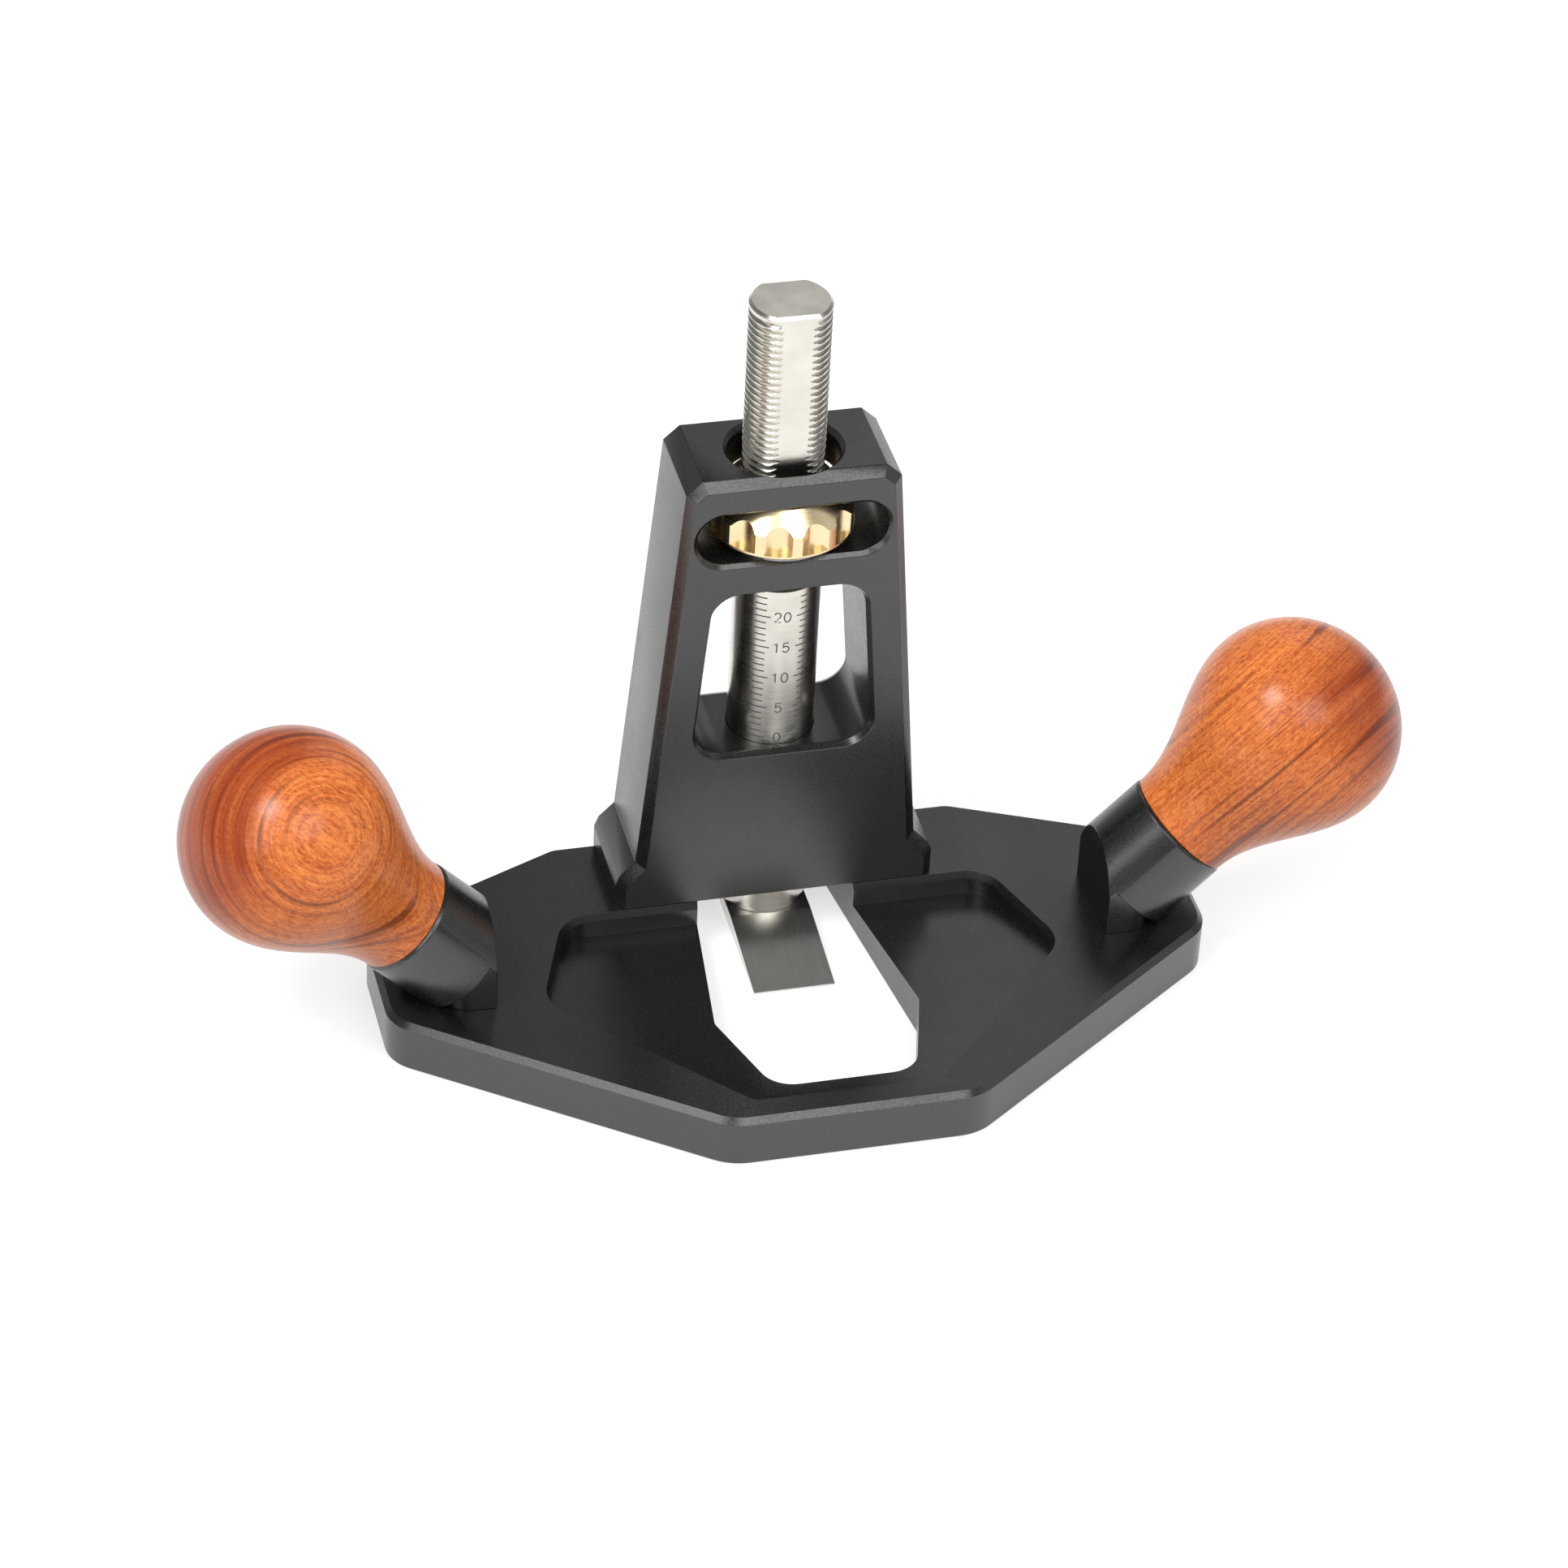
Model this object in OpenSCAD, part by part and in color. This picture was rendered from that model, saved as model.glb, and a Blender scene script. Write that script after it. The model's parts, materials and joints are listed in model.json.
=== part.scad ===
// Hand router plane: a winged base with a tapered tower, a threaded depth post that a captured brass nut
// raises and lowers, a flat cutter under the post, and two knobs on angled sockets.
// Millimetres, +Z up, front towards -Y. The sole is at Z = 0 and the origin is the middle of the footprint.

/* [Base plate] */
// Thickness of the base plate
base_t = 7.3; // [6.8:0.1:8.5]
// Post axis to the front edge
base_front = 54.4; // [53:0.2:58]
// Ledge of the base behind the tower
back_ledge = 0.15; // [0.05:0.05:3]
// Half width across the two ends
base_half = 57.6; // [56:0.2:62]
// Half length of the straight front edge
front_half = 17; // [15:0.5:19]
// Half length of the straight back edge
back_half = 28.7; // [26:0.1:31]
// Handle's axis to the front corner of each end
end_ahead = 7.1; // [5:0.1:10]
// Handle's axis to the back corner of each end
end_behind = 13.2; // [12:0.1:16]
// Radius of the two front corners
front_r = 8; // [4:0.5:10]
// Radius of the corners at the ends
end_r = 6; // [4:0.5:7]
// Radius of the two back corners
back_r = 4; // [2:0.5:6]
// Bevel round the top rim
rim_bevel = 0.8; // [0.4:0.1:1.2]

/* [Mouth] */
// Width of the base in front of the mouth
front_rail = 6.4; // [5:0.2:10]
// Half width at the front of the mouth
mouth_front_half = 9.8; // [8:0.1:11]
// Half width of the mouth at its widest place
mouth_half = 14.3; // [13:0.1:15]
// Post axis to the widest place of the mouth
mouth_wide = 32.3; // [28:0.1:36]
// Half width at the back of the mouth, under the tower
mouth_back_half = 9.7; // [9:0.1:10]
// Post axis to the back of the mouth, behind the post
mouth_back = 3; // [2:0.5:4]
// Radius of the two front corners of the mouth
mouth_front_r = 4.5; // [2:0.5:6]
// Radius of the other corners of the mouth
mouth_side_r = 2; // [1:0.5:3]
// Room round the post and the cutter where they pass the base
throat_gap = 0.5; // [0.4:0.1:0.8]

/* [Chip pocket] */
// Ledge of the base in front of the tower, before the bevel
pocket_ledge = 0.6; // [0.55:0.05:1.5]
// Half width of the back wall
pocket_back_half = 29.9; // [28:0.1:31]
// Half width of the pocket at its widest place
pocket_half = 35.9; // [34:0.1:37]
// Post axis to the widest place of the pocket
pocket_wide = 25; // [22:0.5:28]
// Half width of the pocket at its front
pocket_front_half = 12.4; // [11:0.1:14]
// Width of the base in front of the line where the sloping floor runs out
pocket_rail = 3.9; // [2:0.1:5]
// Depth of the floor at the back wall
pocket_depth = 3.6; // [2.5:0.1:4.2]
// Radius of the corners of the pocket
pocket_r = 5; // [3:0.5:6]
// Bevel round the pocket
pocket_bevel = 0.5; // [0.2:0.05:0.5]

/* [Tower] */
// Height of the tower above the sole
tower_h = 76.5; // [74:0.5:80]
// Depth of the tower from front to back
tower_d = 15.5; // [15.2:0.1:15.8]
// Half width at the top, before the corner bevel
tower_half = 14.5; // [14:0.1:16]
// Spread of each side for each millimetre down
tower_taper = 0.086; // [0.08:0.002:0.09]
// Bevel of the two top corners
corner_bevel = 2; // [1.5:0.1:2.5]
// Bevel along the front edges
edge_bevel = 1.3; // [0.8:0.1:1.6]
// Bevel along the back edges
back_bevel = 0.4; // [0.3:0.1:0.8]
// Half width across the feet
foot_half = 22.6; // [22:0.1:25]
// Height of the upright side of each foot
foot_h = 4.4; // [3.5:0.1:5]
// Height of the slope above each foot
foot_slope = 2.8; // [2:0.1:3.5]
// Length that the softened outer corner of each foot takes off its sides
foot_soften = 0.9; // [0.5:0.1:1.2]
// Length that the fillet above each foot takes up of the slope and of the tower's side
foot_fillet = 2.2; // [1.5:0.1:2.5]

/* [Nut slot] */
// Thickness of the tower above the slot
top_t = 5.2; // [4:0.1:7]
// Room in the slot at each side of the nut
slot_room = 3.1; // [2:0.1:3.4]
// Half height of the slot
slot_half_h = 3.9; // [3.8:0.1:4]
// Bevel round the slot
slot_bevel = 0.6; // [0.3:0.1:0.8]

/* [Window] */
// Thickness of the bridge between the slot and the window
bridge_t = 5.3; // [4:0.1:8]
// Height of the window
window_h = 26.4; // [20:0.1:32]
// Thickness of the two side walls
window_wall = 5.75; // [5:0.05:6]
// Radius of the window's corners
window_r = 4; // [2:0.5:5]
// Bevel round the window
window_bevel = 0.5; // [0.2:0.05:0.8]

/* [Depth post] */
// Radius of the post
post_r = 6; // [5.8:0.05:6.1]
// Length of the post above the tower
post_above = 22.9; // [15:0.1:30]
// Depth of the flats along the front and back of the thread
flat_depth = 1; // [0.9:0.05:1.1]
// Length of those flats below the bridge, which lets the post rise as far
flat_below = 1.2; // [1.1:0.1:2]
// Length of the thread below the slot
thread_below = 4.5; // [3.5:0.1:6]
// Pitch of the thread
thread_pitch = 1; // [0.75:0.25:1.5]
// Depth of the thread
thread_depth = 0.6; // [0.5:0.05:0.65]
// Bevel at the top of the post
post_bevel = 0.4; // [0.3:0.1:0.8]
// Gap between the post and the rounded ends of the hole in the tower's top
top_hole_gap = 0.5; // [0.4:0.05:1]
// Half distance between those rounded ends
top_hole_shift = 1.1; // [0.5:0.1:2]
// Bevel round that hole
top_hole_bevel = 0.6; // [0.3:0.1:0.7]

/* [Adjuster nut] */
// Radius of the nut over its lobes
nut_r = 10; // [9.5:0.1:10.2]
// Number of scallops round the rim
nut_scallops = 12; // [8:2:12]
// Radius of each scallop
scallop_r = 2.4; // [1.8:0.1:2.5]
// Depth of each scallop
scallop_depth = 1.1; // [0.8:0.1:1.2]
// Bevel of the nut's top edge
nut_top_bevel = 2.8; // [1.5:0.1:3]
// Bevel of the nut's lower edge
nut_low_bevel = 0.3; // [0.2:0.05:0.4]
// Thickness of the round flange under the scallops
nut_flange = 0.6; // [0.5:0.1:1]
// Radius of the thrust washer under the nut
washer_r = 8; // [7.5:0.1:8.4]
// Thickness of the thrust washer
washer_t = 1.3; // [1:0.1:1.6]

/* [Cutter] */
// Post axis to the cutting edge
blade_reach = 20.4; // [18:0.2:24]
// Half width of the cutter
blade_half = 5.75; // [5.5:0.05:6]
// Thickness of the cutter under the post
blade_t = 2.3; // [2.2:0.1:2.6]
// Thickness left at the cutting edge
blade_lip = 0.15; // [0.1:0.05:0.2]
// Height of the cutter's underside above the sole
blade_lift = 0.1; // [0.1:0.05:0.2]
// Radius of the cutter's screw
blade_screw_r = 1.5; // [1.2:0.1:2]
// Length of that screw in the post
blade_screw_grip = 10; // [8:1:14]
// Radius of the countersunk head
blade_head_r = 2.9; // [2.5:0.1:3.2]
// Radius of the dowel behind the screw
blade_dowel_r = 0.8; // [0.6:0.1:0.8]
// Back of the post to that dowel's axis
blade_dowel_inset = 1.8; // [1.6:0.1:2]
// Length of that dowel in the post
blade_dowel_grip = 5; // [3:1:8]

/* [Handles] */
// Post axis to the plane of the two handles
handle_front = 18.1; // [17:0.1:19]
// End of the base to the middle of each socket's rim
rim_inset = 3.1; // [2:0.1:5]
// Height of the middle of each rim above the base
rim_rise = 12.2; // [11:0.1:14]
// Lean of each handle from upright
handle_lean = 45; // [40:0.5:50]
// Radius of the sockets
socket_r = 8.25; // [8.2:0.05:8.5]
// Length of each socket along its axis
socket_len = 11.2; // [11:0.1:12]
// Bevel of the socket's rim
socket_bevel = 0.4; // [0.2:0.1:0.6]
// Middle of each rim, level, to the inner face of the socket
inner_run = 11.7; // [10.5:0.1:13]
// Width of the socket's foot from its inner to its outer side
socket_foot_w = 7.2; // [6.8:0.1:9]
// Half depth of the socket's foot
socket_foot_half = 7.2; // [7:0.1:7.4]
// Radius of the two outer corners of that foot
socket_foot_r = 4; // [2:0.5:5]
// Step from the socket's rim in to the knob's neck
neck_step = 0.15; // [0.05:0.05:0.5]
// Radius of the knob at its widest place
knob_r = 15; // [14:0.1:16]
// Neck to the widest place of the knob
knob_wide = 21.5; // [20:0.5:23]
// Length of the knob
knob_len = 35.8; // [34:0.2:38]
// Radius of the stud in each knob
stud_r = 3; // [2.5:0.1:3]
// Length of the stud in the socket
stud_in_socket = 6.5; // [5:0.5:6.5]
// Length of the stud in the knob
stud_in_knob = 12; // [10:0.5:14]
// Radius of the threaded insert in each knob
insert_r = 4.5; // [4.2:0.1:5]
// Length of that insert
insert_len = 13; // [10:0.5:15]

/* [Fasteners] */
// Diameter of the tower's screws
tower_screw_d = 3; // [2.5:0.5:3]
// Tower's screws to its dowels, from side to side
screw_to_dowel = 4.5; // [4.2:0.1:6]
// Half distance between the tower's screws from front to back
tower_screw_y = 3.7; // [3.5:0.1:3.8]
// Length of those screws in the tower
tower_screw_grip = 10; // [8:1:14]
// Radius of the tower's dowels
dowel_r = 1.5; // [1:0.1:1.5]
// Outer side of the tower's foot to its dowel's axis
dowel_inset = 3.6; // [3:0.1:4.5]
// Length of each dowel above and below the joint
dowel_half_len = 4; // [3:0.5:4]
// Diameter of the sockets' screws
socket_screw_d = 4; // [3:0.5:4]
// Inner face of the socket to its screws' axes
socket_screw_inset = 3.6; // [3.2:0.1:4]
// Half distance between the screws of one socket
socket_screw_y = 4.3; // [4.2:0.1:4.5]
// Length of those screws in the socket
socket_screw_grip = 4.4; // [3:0.2:4.4]
// Height of the screws' seats above the sole
screw_seat = 3.9; // [3.7:0.1:4.2]

/* [Fits] */
// Gap on each side of the post in its bores
running_gap = 0.05; // [0.03:0.01:0.08]
// Gap above and below the nut
nut_play = 0.1; // [0.08:0.02:0.15]
// Gap round screws, studs, inserts and dowels
seat_gap = 0.05; // [0.03:0.01:0.1]

/* [Hidden] */
$fn = 96;

LEFT = -1;
RIGHT = 1;
black = "#26272a";
steel = "#b9b7b1";
tool_steel = "#8b8a86";
brass = "#c9a24e";
wood = "#b5622c";

// Head radius, head height and hexagon radius of a cap screw for each millimetre of its thread
cap_r_per_d = 0.9;
cap_h_per_d = 0.85;
hex_r_per_d = 0.45;
// How far cuts run past the surface that they open
over = 1;
// Straight pieces in a rounded corner
corner_steps = 8;
// Straight pieces in each half of the knob's outline
knob_steps = 16;

base_back = tower_d / 2 + back_ledge;
// The footprint is centred on the origin: the base sets its front and the nut's rim its back
post_y = (base_front - max(nut_r, base_back)) / 2;

end_front = handle_front + end_ahead;
end_back = handle_front - end_behind;
mouth_front = base_front - front_rail;
pocket_front = base_front - pocket_rail;
pocket_back = tower_d / 2 + pocket_ledge;
slot_z = tower_h - top_t - slot_half_h;
slot_half = nut_r + slot_room;
slot_floor = slot_z - slot_half_h;
slot_top = slot_z + slot_half_h;
nut_z = slot_floor + washer_t + nut_play;
nut_h = slot_top - nut_play - nut_z;
window_top = slot_floor - bridge_t;
window_bottom = window_top - window_h;
post_bottom = blade_lift + blade_t;
post_top = tower_h + post_above;
post_flat = post_r - flat_depth;
flat_start = window_top - flat_below;
thread_start = slot_floor - thread_below;
top_hole_r = post_r + top_hole_gap;
foot_top = base_t + foot_h;
side_low = foot_top + foot_slope;
thread_turns = floor((post_top - post_bevel - thread_start) / thread_pitch);
blade_head_h = blade_head_r - blade_screw_r;
blade_dowel_y = post_r - blade_dowel_inset;
dowel_x = foot_half - dowel_inset;
tower_screw_x = dowel_x - screw_to_dowel;
rim_x = base_half - rim_inset;
rim_z = base_t + rim_rise;
socket_inner = rim_x - inner_run;
socket_outer = socket_inner + socket_foot_w;
socket_screw_x = socket_inner + socket_screw_inset;
knob_neck_r = socket_r - neck_step;

// Half width of the tower at height z
function side_at(z) = tower_half + tower_taper * (tower_h - z);
// Half width of the window at height z
function window_at(z) = side_at(z) - window_wall;
// Right half of an outline, completed with its mirror image
function mirrored(half) = concat(half, [for (i = [len(half) - 1 : -1 : 0]) [-half[i].x, half[i].y]]);
// The same for an outline whose corners are [x, y, radius]
function both_sides(half) =
    concat(half, [for (i = [len(half) - 1 : -1 : 0]) [-half[i].x, half[i].y, half[i].z]]);
function unit(v) = v / norm(v);
// An angle brought between -180 and 180 degrees
function short_turn(a) = a - 360 * round(a / 360);
// Points along the rounded corner b between its neighbours a and c
function corner_arc(a, b, c) =
    let (
        tip = [b.x, b.y],
        to_a = unit([a.x, a.y] - tip),
        to_c = unit([c.x, c.y] - tip),
        half_angle = acos(to_a * to_c) / 2,
        run = b.z / tan(half_angle),
        centre = tip + unit(to_a + to_c) * b.z / sin(half_angle),
        from_dir = tip + to_a * run - centre,
        to_dir = tip + to_c * run - centre,
        start = atan2(from_dir.y, from_dir.x),
        turn = short_turn(atan2(to_dir.y, to_dir.x) - start)
    )
    [for (i = [0 : corner_steps])
        let (angle = start + turn * i / corner_steps)
        centre + b.z * [cos(angle), sin(angle)]];
// Outline with all its corners rounded
function rounded(corners) =
    let (n = len(corners))
    [for (i = [0 : n - 1]) each corner_arc(corners[(i + n - 1) % n], corners[i], corners[(i + 1) % n])];
// Radius of the knob at distance s from its neck
function knob_at(s) =
    s < knob_wide
        ? knob_neck_r + (knob_r - knob_neck_r) * (1 - cos(180 * s / knob_wide)) / 2
        : knob_r * sqrt(max(0, 1 - pow((s - knob_wide) / (knob_len - knob_wide), 2)));
function cap_r(d) = cap_r_per_d * d;
function cap_h(d) = cap_h_per_d * d;
function hex_r(d) = hex_r_per_d * d;

base_outline = rounded(both_sides([
    [front_half, -base_front, front_r],
    [base_half, -end_front, end_r],
    [base_half, -end_back, end_r],
    [back_half, base_back, back_r]]));
mouth_outline = rounded(both_sides([
    [mouth_front_half, -mouth_front, mouth_front_r],
    [mouth_half, -mouth_wide, mouth_side_r],
    [mouth_back_half, mouth_back, mouth_side_r]]));
pocket_outline = rounded(both_sides([
    [pocket_front_half, -pocket_front, pocket_r],
    [pocket_half, -pocket_wide, pocket_r],
    [pocket_back_half, -pocket_back, pocket_r]]));
window_outline = rounded(both_sides([
    [window_at(window_bottom), window_bottom, window_r],
    [window_at(window_top), window_top, window_r]]));
// The outlines of the tower's shaft and feet run on below the base's top, where they are cut off level
tower_low = base_t - 2 * edge_bevel;
foot_run = foot_half - side_at(side_low);
shaft_outline = mirrored([
    [side_at(tower_low), tower_low],
    [side_at(tower_h - corner_bevel), tower_h - corner_bevel],
    [tower_half - corner_bevel, tower_h]]);
// Unit steps down the slope of the right foot and up the right side of the shaft
slope_down = [foot_run, -foot_slope] / norm([foot_run, foot_slope]);
side_up = [-tower_taper, 1] / norm([tower_taper, 1]);
foot_corner = [side_at(side_low), side_low];
feet_outline = mirrored([
    [foot_half, tower_low],
    [foot_half, foot_top - foot_soften],
    [foot_half, foot_top] - foot_soften * slope_down,
    [foot_half - 2 * foot_run, foot_top + 2 * foot_slope]]);
fillet_outline = mirrored([
    [(foot_corner + foot_fillet * slope_down).x, tower_low],
    foot_corner + foot_fillet * slope_down,
    foot_corner + foot_fillet * side_up]);
tower_screw_places = [for (sx = [LEFT, RIGHT], sy = [-1, 1]) [sx * tower_screw_x, sy * tower_screw_y]];

// Shifts a piece that is drawn about the post's axis to its place on the footprint
module from_post() {
    translate([0, post_y, 0])
        children();
}

// Runs an outline drawn in X and Z from front to back
module front_to_back(depth) {
    rotate([90, 0, 0])
        linear_extrude(depth, center = true)
            children();
}

// Runs an outline drawn in Y and Z from side to side
module side_to_side(width) {
    rotate([90, 0, 90])
        linear_extrude(width, center = true)
            children();
}

// Takes a piece that is drawn on the right to its side
module handed(side) {
    mirror([side == LEFT ? 1 : 0, 0, 0])
        children();
}

// Sets a piece on the axis of the right handle, with Z = 0 at the socket's rim and +Z into the knob
module on_handle() {
    translate([rim_x, -handle_front, rim_z])
        rotate([0, handle_lean, 0])
            children();
}

// Cap screw with its seat at Z = 0, its head below and its thread above
module cap_screw(d, length) {
    difference() {
        union() {
            cylinder(d = d, h = length);
            translate([0, 0, -cap_h(d)])
                cylinder(r = cap_r(d), h = cap_h(d));
        }
        translate([0, 0, -cap_h(d) - over])
            cylinder(r = hex_r(d), h = over + cap_h(d) / 2, $fn = 6);
    }
}

// Stepped hole through the base for a cap screw
module screw_well(d) {
    translate([0, 0, -over])
        cylinder(r = d / 2 + seat_gap, h = base_t + 2 * over);
    translate([0, 0, -over])
        cylinder(r = cap_r(d) + 2 * seat_gap, h = screw_seat + over);
}

// Cut that widens an outline by the bevel at Z = 0 and narrows it by as much at twice the bevel below
module edge_bevel_cut(outline, bevel) {
    hull() {
        linear_extrude(over)
            offset(delta = bevel)
                polygon(outline);
        translate([0, 0, -2 * bevel - over])
            linear_extrude(over)
                offset(delta = -bevel)
                    polygon(outline);
    }
}

// Opening of the base for the cutter, with the throat that the post comes down through
module mouth_cut() {
    throat_r = blade_half + throat_gap;
    translate([0, 0, -over])
        linear_extrude(base_t + 2 * over)
            polygon(mouth_outline);
    translate([0, 0, -over])
        cylinder(r = throat_r, h = base_t + 2 * over);
}

// Hollow round the mouth, deepest at the tower, with a floor that slopes up to nothing at the front
module pocket_cut() {
    intersection() {
        union() {
            linear_extrude(base_t + over)
                polygon(pocket_outline);
            translate([0, 0, base_t])
                edge_bevel_cut(pocket_outline, pocket_bevel);
        }
        side_to_side(2 * base_half)
            polygon([
                [-pocket_front, base_t],
                [-pocket_back + over, base_t - pocket_depth],
                [-pocket_back + over, base_t + 2 * over],
                [-pocket_front, base_t + 2 * over]]);
    }
}

module base_plate() {
    color(black)
        from_post()
            difference() {
                union() {
                    linear_extrude(base_t - rim_bevel)
                        polygon(base_outline);
                    hull() {
                        translate([0, 0, base_t - 2 * rim_bevel])
                            linear_extrude(rim_bevel)
                                polygon(base_outline);
                        translate([0, 0, base_t - rim_bevel])
                            linear_extrude(rim_bevel)
                                offset(delta = -rim_bevel)
                                    polygon(base_outline);
                    }
                }
                mouth_cut();
                pocket_cut();
                for (place = tower_screw_places)
                    translate(place)
                        screw_well(tower_screw_d);
                for (side = [LEFT, RIGHT]) {
                    translate([side * dowel_x, 0, base_t - dowel_half_len - seat_gap])
                        cylinder(r = dowel_r + seat_gap, h = base_t);
                    for (sy = [-1, 1])
                        translate([side * socket_screw_x, -handle_front + sy * socket_screw_y])
                            screw_well(socket_screw_d);
                }
            }
}

// Block of the tower with a convex outline in X and Z and with bevelled front and back edges
module bevelled_block(outline) {
    hull() {
        translate([0, (edge_bevel - back_bevel) / 2, 0])
            front_to_back(tower_d - edge_bevel - back_bevel)
                polygon(outline);
        translate([0, -tower_d / 4, 0])
            front_to_back(tower_d / 2)
                offset(delta = -edge_bevel)
                    polygon(outline);
        translate([0, tower_d / 4, 0])
            front_to_back(tower_d / 2)
                offset(delta = -back_bevel)
                    polygon(outline);
    }
}

// Shaft and feet of the tower, standing on the base
module tower_body() {
    intersection() {
        union() {
            bevelled_block(shaft_outline);
            bevelled_block(feet_outline);
            bevelled_block(fillet_outline);
        }
        translate([-2 * foot_half, -tower_d, base_t])
            cube([4 * foot_half, 2 * tower_d, tower_h]);
    }
}

// Half of the nut slot's bevel, on the front face
module slot_bevel_cut() {
    flat_half = slot_half - slot_half_h;
    wide = slot_half_h + slot_bevel;
    translate([0, -tower_d / 2, slot_z]) {
        for (side = [LEFT, RIGHT])
            translate([side * flat_half, 0, 0])
                rotate([-90, 0, 0])
                    cylinder(r1 = wide, r2 = slot_half_h, h = slot_bevel);
        side_to_side(2 * flat_half)
            polygon([[0, -wide], [0, wide], [slot_bevel, slot_half_h], [slot_bevel, -slot_half_h]]);
    }
}

// Slot that holds the nut, open at the front and at the back
module slot_cut() {
    flat_half = slot_half - slot_half_h;
    for (side = [LEFT, RIGHT])
        translate([side * flat_half, 0, slot_z])
            rotate([90, 0, 0])
                cylinder(r = slot_half_h, h = tower_d + 2 * over, center = true);
    translate([0, 0, slot_z])
        cube([2 * flat_half, tower_d + 2 * over, 2 * slot_half_h], center = true);
    for (turn = [0, 180])
        rotate([0, 0, turn])
            slot_bevel_cut();
}

// Window that shows the scale, open at the front and at the back
module window_cut() {
    front_to_back(tower_d + 2 * over)
        polygon(window_outline);
    for (turn = [0, 180])
        rotate([0, 0, turn])
            translate([0, -tower_d / 2, 0])
                rotate([90, 0, 0])
                    edge_bevel_cut(window_outline, window_bevel);
}

// Oblong hole in the tower's top, with a bevelled edge
module top_hole_cut() {
    top_r = top_hole_r + top_hole_bevel;
    for (side = [LEFT, RIGHT])
        translate([side * top_hole_shift, 0, slot_z]) {
            cylinder(r = top_hole_r, h = tower_h - slot_z + over);
            translate([0, 0, tower_h - slot_z - top_hole_bevel])
                cylinder(r1 = top_hole_r, r2 = top_r + over, h = top_hole_bevel + over);
        }
    translate([-top_hole_shift, -top_hole_r, slot_z])
        cube([2 * top_hole_shift, 2 * top_hole_r, tower_h - slot_z + over]);
    side_to_side(2 * top_hole_shift)
        polygon([
            [-top_hole_r, tower_h - top_hole_bevel],
            [top_hole_r, tower_h - top_hole_bevel],
            [top_r + over, tower_h + over],
            [-top_r - over, tower_h + over]]);
}

// Bores that guide the post: plain below the window, and with two flats in the bridge under the nut
module post_bores() {
    bore_r = post_r + running_gap;
    translate([0, 0, base_t - over])
        cylinder(r = bore_r, h = window_bottom - base_t + 2 * over);
    difference() {
        translate([0, 0, window_top - over])
            cylinder(r = bore_r, h = slot_floor - window_top + 2 * over);
        for (turn = [0, 180])
            rotate([0, 0, turn])
                translate([-post_r, -post_flat - running_gap - post_r, window_top - over])
                    cube([2 * post_r, post_r, slot_floor - window_top + 2 * over]);
    }
}

module tower() {
    color(black)
        from_post()
            difference() {
                tower_body();
                slot_cut();
                top_hole_cut();
                window_cut();
                post_bores();
                for (place = tower_screw_places)
                    translate([place.x, place.y, base_t - over])
                        cylinder(r = tower_screw_d / 2 + seat_gap, h = tower_screw_grip + 2 * over);
                for (side = [LEFT, RIGHT])
                    translate([side * dowel_x, 0, base_t - over])
                        cylinder(r = dowel_r + seat_gap, h = dowel_half_len + over + seat_gap);
            }
}

module tower_screws() {
    color(steel)
        from_post()
            for (place = tower_screw_places)
                translate([place.x, place.y, screw_seat])
                    cap_screw(tower_screw_d, base_t - screw_seat + tower_screw_grip);
}

module tower_dowels() {
    color(steel)
        from_post()
            for (side = [LEFT, RIGHT])
                translate([side * dowel_x, 0, base_t - dowel_half_len])
                    cylinder(r = dowel_r, h = 2 * dowel_half_len);
}

module depth_post() {
    crest_r = post_r - running_gap;
    root_r = crest_r - thread_depth;
    thread = [for (i = [0 : thread_turns - 1], step = [0, 1])
        [step == 0 ? crest_r : root_r, thread_start + (i + step / 2) * thread_pitch]];
    thread_end = thread_start + thread_turns * thread_pitch;
    color(steel)
        from_post()
            difference() {
                rotate_extrude()
                    polygon(concat(
                        [[0, post_bottom], [post_r, post_bottom], [post_r, thread_start - thread_pitch / 4]],
                        thread,
                        [[crest_r, thread_end],
                         [crest_r, post_top - post_bevel],
                         [crest_r - post_bevel, post_top],
                         [0, post_top]]));
                for (turn = [0, 180])
                    rotate([0, 0, turn])
                        translate([-post_r, -post_flat - post_r, flat_start])
                            cube([2 * post_r, post_r, post_top - flat_start + over]);
                translate([0, 0, post_bottom - over])
                    cylinder(r = blade_screw_r + seat_gap, h = blade_screw_grip + 2 * over);
                translate([0, blade_dowel_y, post_bottom - over])
                    cylinder(r = blade_dowel_r + seat_gap, h = blade_dowel_grip + over + seat_gap);
            }
}

module adjuster_nut() {
    color(brass)
        from_post()
            translate([0, 0, nut_z])
                difference() {
                    rotate_extrude()
                        polygon([
                            [post_r + running_gap, 0],
                            [nut_r - nut_low_bevel, 0],
                            [nut_r, nut_low_bevel],
                            [nut_r, nut_h - nut_top_bevel],
                            [nut_r - nut_top_bevel, nut_h],
                            [post_r + running_gap, nut_h]]);
                    for (i = [0 : nut_scallops - 1])
                        rotate([0, 0, (i + 0.5) * 360 / nut_scallops - 90])
                            translate([nut_r - scallop_depth + scallop_r, 0, nut_flange])
                                cylinder(r = scallop_r, h = nut_h);
                }
}

module nut_washer() {
    color(steel)
        from_post()
            translate([0, 0, slot_floor])
                difference() {
                    cylinder(r = washer_r, h = washer_t);
                    translate([0, 0, -over])
                        cylinder(r = post_r + throat_gap, h = washer_t + 2 * over);
                }
}

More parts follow.
